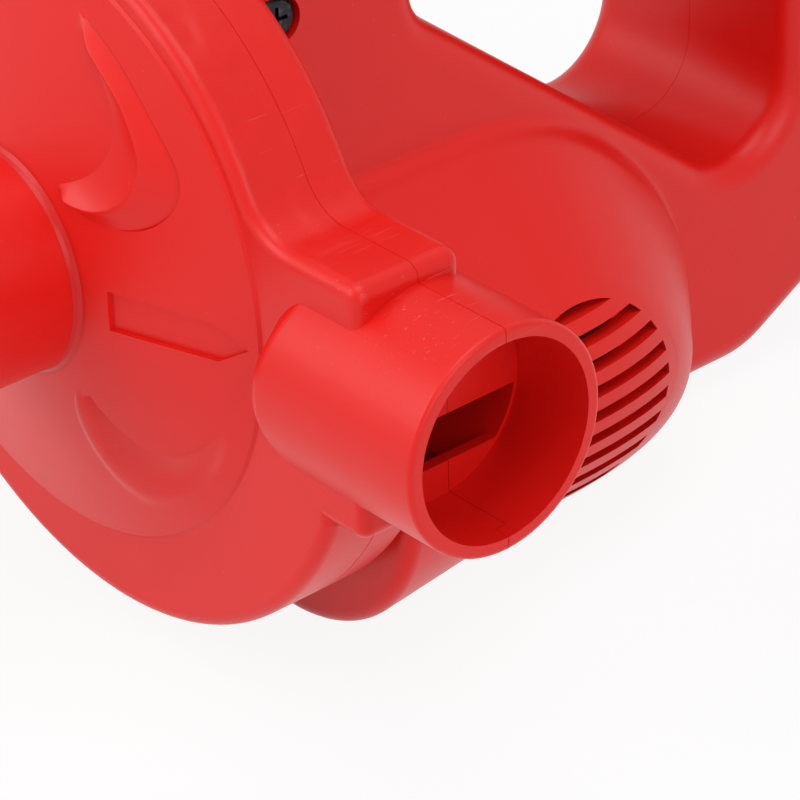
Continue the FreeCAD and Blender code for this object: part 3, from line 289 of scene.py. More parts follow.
def round_zones(material, place):
    """Two zones about the inlet's axis: the scroll's rim, and the root of the inlet pipe for painted
    shade.
    """
    aside = object_place(material, (1, 0, 1), move=-inlet_axis)
    reach = Pattern.node(material, "ShaderNodeVectorMath", {"operation": "LENGTH"}, {0: aside},
                         output="Value")
    facing = Pattern.node(material, "ShaderNodeTexCoord", output="Normal")
    forward = Pattern.node(material, "ShaderNodeVectorMath", {"operation": "DOT_PRODUCT"},
                           {0: facing, 1: (0, -1, 0)}, output="Value")
    depth = along_axis(material, place)
    rim = (between(material, reach, *rim_starts) * (1 - between(material, reach, *rim_ends))
           * (forward < rim_turns_aside) * (depth < scroll_back))
    painted_root_shade = ((reach > pipe_radius) * (1 - between(material, reach, *root_ends))
            * (depth > root_front) * (depth < root_back))
    return rim, painted_root_shade


def wear_marks(material, place):
    """Scuffs in thin lines, most of them at three spots, and pale specks of dust."""
    rubbed = between(material, clouds(material, place, scale=60.0), 0.56, 0.70)
    worn = (near(material, place, pipe_seam, radius=0.022)
            + near(material, place, duct_corner, radius=0.016) * 0.5 + rubbed * 0.08
            + near(material, place, rim_smudge, radius=0.012) * 0.25)
    lines = (scratch_lines(material, turn=(0.4, 0.9, 0.5), scale=2300.0, cut=0.715)
             + scratch_lines(material, turn=(1.3, 0.2, 2.1), scale=2900.0, cut=0.725))
    scuffs = worn.maths("MULTIPLY", worn, lines, clamp=True)
    dots = 1 - between(material, cells(material, place, scale=420.0), 0.05, 0.10)
    dusty = (clouds(material, place, scale=75.0, detail=1.0)
             + near(material, place, pipe_seam, radius=0.035) * 0.10)
    return scuffs, dots * (dusty > 0.60)


def red_shell_sockets(material):
    place = object_place(material)
    flow = clouds(material, place, scale=26.0, detail=3.0)
    grain = clouds(material, place, scale=2600.0, roughness=0.6)
    waves = clouds(material, place, scale=90.0, detail=1.0)
    sinks = between(material, clouds(material, place, scale=105.0, detail=1.0), 0.40, 0.66)
    rim, painted_root_shade = round_zones(material, place)
    scuffs, specks = wear_marks(material, place)
    colour = blend_colours(material, flow, red_deep, red_bright)
    # Painted shade: the red is darkened in a ring round the root of the inlet pipe, where the fillet lies
    # in shade.
    colour = blend_colours(material, painted_root_shade * 0.40, colour, painted_shade_red)
    colour = blend_colours(material, scuffs * 0.50 + specks * 0.22, colour, red_scuffed)
    height = grain * 0.10 + waves * 0.8 + rim * sinks * 2.4 - scuffs * 0.30 + specks * 0.15
    return {
        "Base Color": colour,
        "Roughness": 0.34 + flow * 0.07 + scuffs * 0.2,
        "Specular IOR Level": 0.34,
        "Normal": relief(material, height, distance=0.00010),
    }


red_shell = make_finish("red_shell_plastic", red_shell_sockets)
fit_finish(red_shell, "front_scroll_shell", "rear_scroll_shell", "right_body_shell", "left_body_shell")


# Swept reliefs on the face: two crescents moulded into the front scroll shell, a fin above and a
# dish below, each with one side that runs out into the cone and one that ends in a small step.
cone_radius, cone_level, cone_slope = 52.0, -68.149, 0.2897
skin_lift = 0.015

fin_height, groove_depth = 1.75, 0.86
fin_rises, fin_runs_out = 0.16, 0.07
groove_opens = 0.04
softer_from, softer_over = 0.66, 0.20
climb_bow, steep_bow, soft_bow = 0.25, 0.2, 1.7

dish_depth, lip_height, lip_place = 0.85, 0.35, 0.82
dish_starts, dish_runs_out = 0.05, 0.10
bowl_from, bowl_over, bowl_runs_out = 0.34, 0.34, 0.26
bowl_depth, bowl_roundness = 0.68, 1.3
bowl_top, bowl_width = 0.08, 0.72
step_depth, step_width = 0.24, 0.3

fin_near = [(12.9, 44.0), (14.0, 42.5), (17.2, 39.6), (20.2, 35.9), (22.5, 32.5), (23.8, 28.8),
            (23.4, 25.2), (21.4, 22.0), (18.4, 19.6), (14.2, 17.6)]
fin_crest = [(13.3, 44.5), (17.0, 41.0), (20.3, 38.5), (26.3, 33.6), (30.4, 27.1), (30.6, 23.3),
             (29.1, 19.8), (26.3, 17.2), (22.6, 15.9), (18.6, 16.0), (14.4, 17.2)]
fin_far = [(14.3, 45.2), (19.6, 42.3), (23.9, 39.6), (31.3, 32.8), (34.8, 29.1), (37.5, 24.8),
           (37.2, 19.8), (33.9, 15.7), (29.3, 13.4), (24.2, 13.1), (19.2, 14.2), (14.3, 16.6)]
dish_upper = [(16.2, -17.9), (19.2, -20.9), (22.9, -24.1), (27.7, -25.8), (32.9, -24.7),
              (37.5, -22.1), (43.7, -16.6)]
dish_middle = [(15.6, -18.6), (16.1, -23.0), (18.6, -30.4), (24.6, -32.6), (32.5, -30.2),
               (39.3, -24.9), (44.2, -16.6)]
dish_lower = [(14.2, -19.0), (12.6, -24.4), (12.9, -29.2), (14.6, -33.8), (17.8, -37.6),
              (22.5, -39.3), (27.2, -38.4), (35.4, -33.4), (38.9, -30.1), (41.9, -26.2),
              (44.1, -21.9), (44.7, -16.6)]


def face_level(x, z):
    """How far forward the cone of the face lies, in mm, at a place given from the inlet's axis."""
    return cone_level - cone_slope * (cone_radius - math.hypot(x, z))


def smooth(share):
    share = min(max(share, 0.0), 1.0)
    return share * share * (3 - 2 * share)


def faded_ends(run, first, last):
    """1 along a run from 0 to 1, but 0 at its two ends, over these shares of it."""
    return smooth(run / first) * smooth((1 - run) / last)


def even_row(points, count, fineness=24, rounding=1e-9):
    """Places evenly spaced along the smooth curve through the points."""
    points = [Vector(point) for point in points]
    padded = [points[0] * 2 - points[1]] + points + [points[-1] * 2 - points[-2]]
    fine = []
    for before, first, second, after in zip(padded, padded[1:], padded[2:], padded[3:]):
        for step in range(fineness):
            share = step / fineness
            fine.append(0.5 * (2 * first + (second - before) * share
                               + (2 * before - 5 * first + 4 * second - after) * share ** 2
                               + (3 * first - before - 3 * second + after) * share ** 3))
    fine.append(points[-1])
    gone = [0.0]
    for here, there in zip(fine, fine[1:]):
        gone.append(gone[-1] + (there - here).length)
    row = []
    for number in range(count):
        wanted = gone[-1] * number / (count - 1)
        place = next(k for k in range(1, len(gone)) if gone[k] >= wanted - rounding)
        share = (wanted - gone[place - 1]) / (gone[place] - gone[place - 1])
        row.append(fine[place - 1].lerp(fine[place], share))
    return row


def add_red_piece(name, form):
    """The finished mesh as a piece of the red shells."""
    piece = add_object(name, form, red_shell)
    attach(piece, "housing")


def lay_skin(name, along, across, place_of, outward):
    """A smooth skin of the shells: a grid whose points lie where place_of(run, side) puts them."""
    skin = bmesh.new()
    bmesh.ops.create_grid(skin, x_segments=along - 1, y_segments=across - 1, size=0.5)
    for point in skin.verts:
        run, side = (min(max(share + 0.5, 0.0), 1.0) for share in (point.co.x, point.co.y))
        point.co = place_of(run, side)
    bmesh.ops.recalc_face_normals(skin, faces=skin.faces)
    if sum(face.normal.dot(outward) * face.calc_area() for face in skin.faces) < 0:
        bmesh.ops.reverse_faces(skin, faces=skin.faces)
    for face in skin.faces:
        face.smooth = True
    add_red_piece(name, skin)


def lay_relief(name, edges, height, along=81, across=29):
    """A skin over the face through three curves, lifted or sunk by height(run, side) in mm."""
    rows = [even_row(points, along) for points in edges]

    def place_of(run, side):
        first, centre, last = (row[round(run * (along - 1))] for row in rows)
        spot = first.lerp(centre, side * 2) if side < 0.5 else centre.lerp(last, side * 2 - 1)
        level = face_level(spot.x, spot.y) - height(run, side)
        return Vector((inlet_axis.x + spot.x / 1000, level / 1000, inlet_axis.z + spot.y / 1000))

    lay_skin(name, along, across, place_of, outward=Vector((0, -1, 0)))


def fin_profile(run, side):
    """The near side climbs evenly to a crisp crest, the far side drops away from it."""
    crest = fin_height * faded_ends(run, fin_rises, fin_runs_out)
    soft = smooth((run - softer_from) / softer_over)
    groove = -groove_depth * (1 - soft) * smooth(run / groove_opens)
    if side < 0.5:
        climb = side * 2
        return skin_lift + (crest - skin_lift) * ((1 - climb_bow) * climb + climb_bow * climb ** 2)
    beyond = side * 2 - 1
    steep_fall = (1 - steep_bow) * beyond + steep_bow * smooth(beyond)
    soft_fall = 1 - (1 - beyond) ** soft_bow
    return crest + (groove + skin_lift - crest) * (steep_fall * (1 - soft) + soft_fall * soft)


def dish_profile(run, side):
    """On the left deepest under its upper edge, with the lip below; on the right a round bowl."""
    if side < lip_place:
        ramp = -dish_depth + (dish_depth + lip_height) * smooth(side / lip_place)
    else:
        ramp = lip_height - (lip_height - skin_lift) * smooth((side - lip_place) / (1 - lip_place))
    across = min(max((side - bowl_top) / bowl_width, 0.0), 1.0)
    step_down = step_depth * (1 - smooth(side / step_width))
    hollow = step_down + bowl_depth * math.sin(math.pi * across) ** bowl_roundness
    bowl = skin_lift - hollow * smooth((1 - run) / bowl_runs_out)
    right = smooth((run - bowl_from) / bowl_over)
    dish = ramp * (1 - right) + bowl * right
    return skin_lift + (dish - skin_lift) * faded_ends(run, dish_starts, dish_runs_out)


lay_relief("upper_face_relief", (fin_near, fin_crest, fin_far), fin_profile)
lay_relief("lower_face_relief", (dish_upper, dish_middle, dish_lower), dish_profile)


# Seam tongues: the moulded lip of one shell half that shows as red plastic at the bottom of the
# split line, so that the line reads as a shallow groove and not as a gap.
def show_tongue(name, node, cut_place, cut_normal, depth, run):
    """The shell's outline where it is cut, drawn in by the depth and swept along the run."""
    lip = bmesh.new()
    lip.from_mesh(nodes[node].data)
    bmesh.ops.remove_doubles(lip, verts=lip.verts, dist=1e-6)
    whole = lip.verts[:] + lip.edges[:] + lip.faces[:]
    cut = bmesh.ops.bisect_plane(lip, geom=whole, plane_co=cut_place, plane_no=cut_normal)["geom_cut"]
    lip.normal_update()
    outline = dict.fromkeys(item for item in cut if isinstance(item, bmesh.types.BMEdge))
    outward = {point: point.normal.copy() for edge in outline for point in edge.verts}
    bmesh.ops.delete(lip, geom=[edge for edge in lip.edges if edge not in outline],
                     context="EDGES_FACES")
    bmesh.ops.delete(lip, geom=[point for point in lip.verts if point not in outward],
                     context="VERTS")
    for point, normal in outward.items():
        point.co -= normal * depth
    grown = bmesh.ops.extrude_edge_only(lip, edges=list(outline))["geom"]
    bmesh.ops.translate(lip, vec=run,
                        verts=[item for item in grown if isinstance(item, bmesh.types.BMVert)])
    lip.normal_update()
    inward = [face for face in lip.faces
              if sum(face.normal.dot(outward[point]) for point in face.verts if point in outward) < 0]
    bmesh.ops.reverse_faces(lip, faces=inward)
    add_red_piece(name, lip)


show_tongue("scroll_seam_tongue", "front_scroll_shell", cut_place=(0, -0.0564, 0), cut_normal=(0, 1, 0),
            depth=0.00010, run=(0, 0.0010, 0))
show_tongue("body_seam_tongue", "right_body_shell", cut_place=(-0.0172, 0, 0), cut_normal=(1, 0, 0),
            depth=0.00007, run=(-0.0010, 0, 0))


# Motor bulge shoulders: the skin of the body shells above and behind the air vents, drawn from a
# soft crease on the flat side into the dome; it lies over the shells' wider corner blend.
crease = [(12.0, 5.8), (30.0, 5.8), (48.0, 5.6), (58.0, 5.2), (66.0, 3.9), (74.0, 1.2), (81.8, -3.4),
          (89.0, -9.5), (96.3, -17.6), (101.8, -27.0), (104.4, -36.8), (104.0, -46.0),
          (101.0, -53.5), (97.0, -59.0)]
flat_side = 25.5
body_seam_gap = 0.2
vents_middle = Vector((56.5, -41.0))
vents_clear = 22.0
turns_from, turns_over = 40, 38
longest_reach = 24.0
steepest_start = 2.2
bends_over, parts_over = 4.0, 1.6
rear_fade_from, rear_fade_over = 0.78, 0.22
dome_fade_from, dome_fade_over = 0.80, 0.20
shoulder_lift = 0.02
shoulder_along, shoulder_across = 141, 34
last_step = shoulder_across - 1
slope_steps = 3
reach_rounds, height_rounds, slope_rounds = 12, 3, 6
well_outside = 0.2


def side_of_shell(y, z):
    """How far out the right body shell lies at a place on its side, in mm."""
    start = Vector((well_outside, (y + zero_y) / 1000, (z + zero_z) / 1000))
    found, place = nodes["right_body_shell"].ray_cast(start, Vector((-1, 0, 0)))[:2]
    return place.x * 1000 - zero_x if found else flat_side


def evened(values, rounds):
    """The row of values, each one averaged with its two neighbours this many times."""
    for _ in range(rounds):
        padded = [values[0]] + values + [values[-1]]
        values = [(before + here + after) / 3
                  for before, here, after in zip(padded, padded[1:], padded[2:])]
    return values


crease_row = even_row(crease, shoulder_along)
inward_row, reaches = [], []
for place in crease_row:
    aside = vents_middle - place
    turned = smooth((place.x - turns_from) / turns_over)
    way = Vector((0, -1)).lerp(aside.normalized(), turned).normalized()
    past_middle = aside.x * way.y - aside.y * way.x
    open_run = aside.dot(way) - math.sqrt(max(vents_clear ** 2 - past_middle ** 2, 0))
    inward_row.append(way)
    reaches.append(min(open_run, longest_reach))
reaches = [min(reach, calmer) for reach, calmer in zip(reaches, evened(reaches, reach_rounds))]


def shoulder_spot(number, step):
    """The place on the body's flat side, in mm, that a point of the skin stands over."""
    return crease_row[number] + inward_row[number] * reaches[number] * step / last_step


profiles = [[side_of_shell(*shoulder_spot(number, step)) for step in range(shoulder_across)]
            for number in range(shoulder_along)]
heights = evened([profile[-1] - flat_side for profile in profiles], height_rounds)
end_slopes = evened([(profile[-1] - profile[-1 - slope_steps]) / (reach * slope_steps / last_step)
                     for profile, reach in zip(profiles, reaches)], slope_rounds)


def shoulder_level(number, step):
    """The skin's level: a cubic from the crease that meets the dome along its own slope."""
    run = number / (shoulder_along - 1)
    share = step / last_step
    height, end_slope, reach = heights[number], end_slopes[number], reaches[number]
    mean = height / reach
    start_slope = min(max(2 * mean - end_slope, mean), steepest_start)
    drawn = (height * share ** 2 * (3 - 2 * share) + start_slope * reach * share * (1 - share) ** 2
             - end_slope * reach * share ** 2 * (1 - share))
    drawn = flat_side + drawn * smooth(reach * share / bends_over)
    shell = profiles[number][step]
    fade = ((1 - smooth((run - rear_fade_from) / rear_fade_over))
            * (1 - smooth((share - dome_fade_from) / dome_fade_over)))
    return shell + max(drawn - shell, 0) * fade * smooth(reach * share / parts_over) + shoulder_lift


def lay_shoulder(name, hand):
    """The skin of one side: hand is 1 for the right and -1 for its mirror image on the left."""
    def place_of(run, side):
        number, step = round(run * (shoulder_along - 1)), round(side * last_step)
        spot = shoulder_spot(number, step)
        level = shoulder_level(number, step)
        if hand < 0:
            level = -body_seam_gap - level
        return Vector(((level + zero_x) / 1000, (spot.x + zero_y) / 1000, (spot.y + zero_z) / 1000))

    lay_skin(name, shoulder_along, shoulder_across, place_of, outward=Vector((hand, 0, 0)))


lay_shoulder("right_bulge_shoulder", 1)
lay_shoulder("left_bulge_shoulder", -1)


# Screws of body, scroll and motor, with the fan's washer and nut: rolled steel with pan heads
# and cross recesses, blackened on the body, zinc plated inside where they are not seen.
def screw_sockets(base, rubbed_base, metal):
    def sockets(material):
        rub = between(material, clouds(material, object_place(material), scale=900.0, detail=3.0),
                      0.46, 0.68)
        turned = clouds(material, object_place(material, (1, 9, 1)), scale=1500.0)
        return {
            "Base Color": blend_colours(material, rub, base, rubbed_base),
            "Metallic": metal,
            "Roughness": 0.30 + rub * 0.18 + turned * 0.1,
            "Normal": relief(material, turned, distance=0.00003),
        }
    return sockets


blackened_steel = make_finish("blackened_screw_steel", screw_sockets(
    base=(0.02, 0.02, 0.022, 1), rubbed_base=(0.07, 0.07, 0.075, 1), metal=0.8))
zinc_steel = make_finish("zinc_screw_steel", screw_sockets(
    base=(0.52, 0.53, 0.55, 1), rubbed_base=(0.70, 0.70, 0.70, 1), metal=1.0))
fit_finish(blackened_steel, "body_screws")
fit_finish(zinc_steel, "scroll_screws", "motor_screws", "fan_washer", "fan_nut")


# Impeller and the motor's cooling fan: moulded in glass filled black nylon, with a faint
# mottle of fibres and thin patches of grey dust.
nylon_black = (0.028, 0.028, 0.030, 1)
nylon_fibres = (0.060, 0.060, 0.064, 1)
nylon_dust = (0.135, 0.125, 0.115, 1)


def filled_nylon_sockets(material):
    combed = object_place(material, (1, 0.2, 1), turn=(0.6, 0.3, 0.9))
    fibres = clouds(material, combed, scale=2400.0)
    dust = between(material, clouds(material, object_place(material), scale=120.0, detail=3.0),
                   0.50, 0.72)
    colour = blend_colours(material, fibres, nylon_black, nylon_fibres)
    return {
        "Base Color": blend_colours(material, dust * 0.35, colour, nylon_dust),
        "Roughness": 0.48 + dust * 0.22,
        "Normal": relief(material, fibres + dust * 0.4, distance=0.00004),
    }


fit_finish(make_finish("black_filled_nylon", filled_nylon_sockets), "impeller", "cooling_fan")


# Shaft and front bearing: ground and hardened steel, polished along fine grinding rings, under
# a thin film of oil; pressed into each other and into the motor can.
steel_bare = (0.58, 0.58, 0.60, 1)
steel_oiled = (0.72, 0.71, 0.70, 1)


def fine_waves(material, place, settings, period, wobble, detail=2.0, detail_scale=1.0):
    """Even ridges, one to each period in metres, that waver a little."""
    return Pattern.node(material, "ShaderNodeTexWave", settings,
                        {"Vector": place, "Scale": math.pi / (10 * period), "Distortion": wobble,
                         "Detail": detail, "Detail Scale": detail_scale}, output="Fac")


def turned_rings(material, period, wobble):
    """Fine rings round the rotor's axis, as a lathe or a grinder leaves them."""
    return fine_waves(material, object_place(material, move=-inlet_axis),
                      {"wave_type": "RINGS", "rings_direction": "Y"}, period, wobble,
                      detail=1.0, detail_scale=2.0)


def ground_steel_sockets(material):
    rings = turned_rings(material, period=0.00022, wobble=0.6)
    film = clouds(material, object_place(material), scale=260.0)
    return {
        "Base Color": blend_colours(material, film, steel_bare, steel_oiled),
        "Metallic": 1.0,
        "Roughness": 0.14 + rings * 0.06 + film * 0.10,
        "Normal": relief(material, rings, distance=0.000006),
    }


fit_finish(make_finish("ground_bearing_steel", ground_steel_sockets), "rotor_shaft", "front_bearing")


# Rear bush: sintered bronze that holds oil, warm brown and open pored, pressed into the
# motor's end bell.
def sintered_sockets(base, stained_base, metal, roughness, pore_scale):
    def sockets(material):
        place = object_place(material)
        pores = between(material, cells(material, place, pore_scale), 0.15, 0.45)
        stain = clouds(material, place, scale=300.0, detail=3.0)
        return {
            "Base Color": blend_colours(material, stain, base, stained_base),
            "Metallic": metal,
            "Roughness": roughness + stain * 0.15,
            "Normal": relief(material, pores, distance=0.00003),
        }
    return sockets


oiled_bronze = make_finish("oiled_bronze", sintered_sockets(
    base=(0.34, 0.19, 0.075, 1), stained_base=(0.50, 0.31, 0.14, 1), metal=0.9, roughness=0.34,
    pore_scale=3800.0))
fit_finish(oiled_bronze, "rear_bush")


# Motor can: deep drawn steel with a thin zinc plate, which has a bluish spangle and draw marks
# round its side; the body's ribs hold it through a rubber ring.
zinc_blue = (0.46, 0.47, 0.49, 1)
zinc_grey = (0.58, 0.58, 0.58, 1)


def zinc_can_sockets(material):
    spangle = cells(material, object_place(material, move=-inlet_axis), scale=320.0,
                    feature="SMOOTH_F1")
    drawn = clouds(material, object_place(material, (0.4, 14, 0.4)), scale=260.0)
    return {
        "Base Color": blend_colours(material, spangle, zinc_blue, zinc_grey),
        "Metallic": 1.0,
        "Roughness": 0.26 + drawn * 0.14 + spangle * 0.08,
        "Normal": relief(material, drawn + spangle * 0.2, distance=0.00002),
    }


fit_finish(make_finish("zinc_plated_can", zinc_can_sockets), "motor_can")


# Motor end bell, switch housing and switch rocker: moulded in black thermoplastic; the bell is
# the dullest, and the rocker has the finest grain and the most shine.
def black_moulding_sockets(light, roughness, grain_scale, grain_height):
    darker = (light * 0.8, light * 0.8, light * 0.83, 1)
    lighter = (light * 1.5, light * 1.5, light * 1.55, 1)

    def sockets(material):
        place = object_place(material)
        grain = clouds(material, place, grain_scale, roughness=0.6)
        flow = clouds(material, place, scale=90.0)
        return {
            "Base Color": blend_colours(material, flow, darker, lighter),
            "Roughness": roughness + flow * 0.12,
            "Normal": relief(material, grain, distance=grain_height),
        }
    return sockets


bell_plastic = make_finish("black_bell_plastic", black_moulding_sockets(
    light=0.022, roughness=0.42, grain_scale=1800.0, grain_height=0.00003))
switch_plastic = make_finish("black_switch_plastic", black_moulding_sockets(
    light=0.020, roughness=0.34, grain_scale=2200.0, grain_height=0.00002))
rocker_plastic = make_finish("black_rocker_plastic", black_moulding_sockets(
    light=0.024, roughness=0.30, grain_scale=3400.0, grain_height=0.00004))
fit_finish(bell_plastic, "motor_end_bell")
fit_finish(switch_plastic, "switch_housing")
fit_finish(rocker_plastic, "switch_rocker")


# Field magnets: two pressed and fired ferrite arcs, charcoal grey and finely granular, glued
# into the motor can.
grey_ferrite = make_finish("grey_ferrite", sintered_sockets(
    base=(0.055, 0.055, 0.060, 1), stained_base=(0.095, 0.092, 0.095, 1), metal=0.15, roughness=0.55,
    pore_scale=5200.0))
fit_finish(grey_ferrite, "field_magnets")


# Armature core: a stack of punched electrical steel sheets half a millimetre thick, their edges
# bright from turning and blued between the sheets, pressed on the shaft.
sheet_thickness = 0.0005
sheet_gap = (0.09, 0.09, 0.10, 1)
sheet_blued = (0.30, 0.31, 0.34, 1)
sheet_bright = (0.44, 0.43, 0.42, 1)


def laminated_sockets(material):
    place = object_place(material)
    sheets = fine_waves(material, place, {"wave_type": "BANDS", "bands_direction": "Y"},
                        period=sheet_thickness, wobble=0.2)
    edge = between(material, sheets, 0.05, 0.45)
    blued = clouds(material, place, scale=420.0)
    colour = blend_colours(material, blued, sheet_blued, sheet_bright)
    return {
        "Base Color": blend_colours(material, edge, sheet_gap, colour),
        "Metallic": 1.0,
        "Roughness": 0.32 + blued * 0.15,
        "Normal": relief(material, edge, distance=0.00006),
    }


fit_finish(make_finish("stacked_core_sheets", laminated_sockets), "armature_core")


# Armature windings: enamelled copper wire of 0.35 mm, wound tight in the core's slots and
# dipped in varnish; each bundle shows its turns as fine ridges.
wire_thickness = 0.00035
wire_gap = (0.16, 0.035, 0.012, 1)
wire_dark = (0.42, 0.11, 0.035, 1)
wire_light = (0.62, 0.22, 0.075, 1)


def wound_wire_sockets(material):
    place = object_place(material, turn=(0.25, 0.10, 0.35))
    turns = fine_waves(material, place, {"wave_type": "BANDS", "bands_direction": "DIAGONAL"},
                       period=wire_thickness, wobble=1.6, detail=1.0, detail_scale=0.6)
    varnish = clouds(material, place, scale=380.0)
    colour = blend_colours(material, varnish, wire_dark, wire_light)
    return {
        "Base Color": blend_colours(material, turns, wire_gap, colour),
        "Metallic": 0.75,
        "Roughness": 0.24 + varnish * 0.14,
        "Coat Weight": 0.35,
        "Normal": relief(material, turns, distance=0.00012),
    }


fit_finish(make_finish("varnished_copper_wire", wound_wire_sockets), "armature_windings")


# Commutator: copper bars moulded into a resin ring and turned to size, with a darker track
# where the brushes run.
copper_dark = (0.66, 0.31, 0.16, 1)
copper_light = (0.78, 0.42, 0.24, 1)
copper_tracked = (0.19, 0.10, 0.06, 1)
track_ahead = 0.0110
track_half_width = (0.0016, 0.0023)


def commutator_sockets(material):
    rings = turned_rings(material, period=0.00018, wobble=0.5)
    place = object_place(material)
    from_middle = Pattern.node(material, "ShaderNodeMath", {"operation": "ABSOLUTE"},
                               {0: along_axis(material, place) + track_ahead})
    track = 1 - between(material, from_middle, *track_half_width)
    copper = blend_colours(material, clouds(material, place, scale=500.0), copper_dark, copper_light)
    return {
        "Base Color": blend_colours(material, track * 0.8, copper, copper_tracked),
        "Metallic": 0.95,
        "Roughness": 0.22 + track * 0.16 + rings * 0.05,
        "Normal": relief(material, rings, distance=0.00001),
    }


fit_finish(make_finish("turned_commutator_copper", commutator_sockets), "commutator")


# Brush holders and motor terminals: folded from half-hard brass sheet, bright, with patches of
# brown tarnish and faint rolling lines.
brass_bright = (0.70, 0.49, 0.19, 1)
brass_tarnished = (0.42, 0.26, 0.10, 1)


def brass_sheet_sockets(material):
    rolled = clouds(material, object_place(material, (1, 0.05, 1), turn=(0, 0, 0.3)), scale=2200.0)
    tarnish = between(material, clouds(material, object_place(material), scale=260.0, detail=4.0),
                      0.46, 0.70)
    return {
        "Base Color": blend_colours(material, tarnish, brass_bright, brass_tarnished),
        "Metallic": 1.0,
        "Roughness": 0.24 + tarnish * 0.22 + rolled * 0.06,
        "Normal": relief(material, rolled, distance=0.00001),
    }


fit_finish(make_finish("folded_brass_sheet", brass_sheet_sockets), "brush_holders", "motor_terminals")


# Carbon brushes: pressed from graphite and copper powder, dull black with a faint metallic
# sheen; each slides in its brass holder.
pressed_carbon = make_finish("pressed_carbon", sintered_sockets(
    base=(0.018, 0.017, 0.017, 1), stained_base=(0.050, 0.043, 0.040, 1), metal=0.35, roughness=0.42,
    pore_scale=6500.0))
fit_finish(pressed_carbon, "carbon_brushes")


# Brush springs: two cold wound steel wire coils that push the brushes on to the commutator,
# each held between its brush and the closed end of its holder.
wire_radius = 0.00018
coil_radius = 0.00134
coil_turns = 7
wire_sides, steps_to_a_turn = 8, 28
spring_dark = (0.48, 0.47, 0.45, 1)
spring_light = (0.62, 0.61, 0.60, 1)


def spring_steel_sockets(material):
    drawn = clouds(material, object_place(material, (8, 1, 1)), scale=1600.0)
    mottle = clouds(material, object_place(material), scale=700.0)
    return {
        "Base Color": blend_colours(material, mottle, spring_dark, spring_light),
        "Metallic": 1.0,
        "Roughness": 0.20 + drawn * 0.12,
        "Normal": relief(material, drawn, distance=0.000008),
    }


low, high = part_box("brush_springs")
brush_low, brush_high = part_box("carbon_brushes")
coils = bmesh.new()
for inner, outer, hand in ((brush_high.x, high.x, 1), (brush_low.x, low.x, -1)):
    start = Vector((inner + hand * wire_radius, (low.y + high.y) / 2, (low.z + high.z) / 2))
    travel = (abs(outer - inner) - 2 * wire_radius) * hand
    section = bmesh.ops.create_circle(coils, cap_ends=False, segments=wire_sides, radius=wire_radius,
                                      matrix=Matrix.Translation(start + Vector((0, coil_radius, 0))))
    ring = dict.fromkeys(edge for point in section["verts"] for edge in point.link_edges)
    steps = coil_turns * steps_to_a_turn
    bmesh.ops.spin(coils, geom=list(ring), cent=start, axis=(1, 0, 0), dvec=(travel / steps, 0, 0),
                   angle=math.tau * coil_turns, steps=steps, use_merge=False)
bmesh.ops.holes_fill(coils, edges=[edge for edge in coils.edges if edge.is_boundary], sides=wire_sides)
bmesh.ops.recalc_face_normals(coils, faces=coils.faces)
for face in coils.faces:
    face.smooth = len(face.verts) == 4
coiled_springs = add_object("coiled_brush_springs", coils,
                            make_finish("spring_wire_steel", spring_steel_sockets))
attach(coiled_springs, "housing")
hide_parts("brush_springs")


# Motor pad: a ring of pressed wool felt between the scroll and the motor, grey with loose
# fibres; it keeps the hum of the motor off the shells.
felt_dark = (0.27, 0.26, 0.24, 1)
felt_light = (0.50, 0.49, 0.46, 1)


def felt_sockets(material):
    hairs = clouds(material, object_place(material, (1, 3, 0.25), turn=(0.2, 0.1, 0.7)),
                   scale=1700.0, detail=3.0, roughness=0.7)
    tufts = clouds(material, object_place(material, (0.3, 2, 1), turn=(1.2, 0.4, 0.1)),
                   scale=1300.0, detail=3.0, roughness=0.7)
    return {
        "Base Color": blend_colours(material, hairs * tufts * 2.2, felt_dark, felt_light),
        "Roughness": 0.92,
        "Sheen Weight": 0.4,
        "Normal": relief(material, hairs + tufts, distance=0.00018),
    }


fit_finish(make_finish("pressed_wool_felt", felt_sockets), "motor_pad")


# Motor ring and cord bush: moulded black rubber, dull, with patches of grey bloom; the ring
# holds the motor in the body's ribs and the bush sits in the rear wall for the mains cord.
rubber_black = (0.014, 0.014, 0.014, 1)
rubber_bloomed = (0.048, 0.047, 0.046, 1)


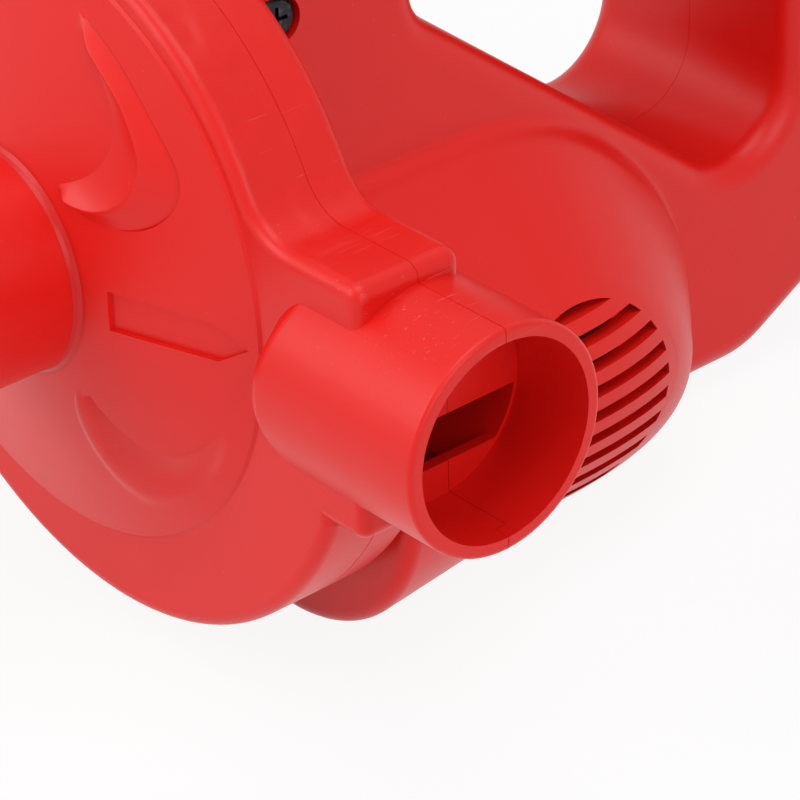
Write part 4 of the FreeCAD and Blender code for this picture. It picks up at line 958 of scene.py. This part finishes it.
def rubber_sockets(material):
    place = object_place(material)
    skin = clouds(material, place, scale=1400.0, detail=3.0, roughness=0.6)
    bloom = between(material, clouds(material, place, scale=150.0, detail=3.0), 0.48, 0.74)
    return {
        "Base Color": blend_colours(material, bloom, rubber_black, rubber_bloomed),
        "Roughness": 0.58 + bloom * 0.22,
        "Normal": relief(material, skin, distance=0.00005),
    }


fit_finish(make_finish("moulded_black_rubber", rubber_sockets), "motor_ring", "cord_bush")


# Rectifier board: glass epoxy sheet under green solder resist, with straight tracks that show
# as lighter, slightly raised lines.
resist_dark = (0.018, 0.120, 0.042, 1)
resist_light = (0.026, 0.155, 0.056, 1)
resist_on_track = (0.050, 0.235, 0.090, 1)


def board_sockets(material):
    laid_flat = object_place(material, turn=(math.pi / 2, 0, 0))
    tracks = Pattern.node(material, "ShaderNodeTexBrick", {"offset": 0.5},
                          {"Vector": laid_flat, "Scale": 130.0, "Mortar Size": 0.05,
                           "Mortar Smooth": 0.2, "Brick Width": 0.9, "Row Height": 0.35}, output="Fac")
    weave = clouds(material, object_place(material, (1, 1, 0.2)), scale=1500.0, detail=1.0)
    colour = blend_colours(material, weave, resist_dark, resist_light)
    return {
        "Base Color": blend_colours(material, tracks, colour, resist_on_track),
        "Roughness": 0.30 + weave * 0.12,
        "Normal": relief(material, tracks + weave * 0.1, distance=0.00004),
    }


fit_finish(make_finish("green_board_resist", board_sockets), "rectifier_board")


# Capacitor: a film capacitor potted in a yellow box, its face slightly sunk where the resin
# shrank and speckled with dust.
box_dark = (0.62, 0.42, 0.050, 1)
box_light = (0.72, 0.52, 0.080, 1)
box_dust = (0.55, 0.48, 0.30, 1)


def potted_box_sockets(material):
    place = object_place(material)
    sink = clouds(material, place, scale=240.0, detail=1.0)
    dust = between(material, clouds(material, place, scale=900.0), 0.60, 0.74)
    colour = blend_colours(material, sink, box_dark, box_light)
    return {
        "Base Color": blend_colours(material, dust * 0.4, colour, box_dust),
        "Roughness": 0.24 + dust * 0.3,
        "Normal": relief(material, sink, distance=0.00015),
    }


fit_finish(make_finish("yellow_potted_box", potted_box_sockets), "capacitor")
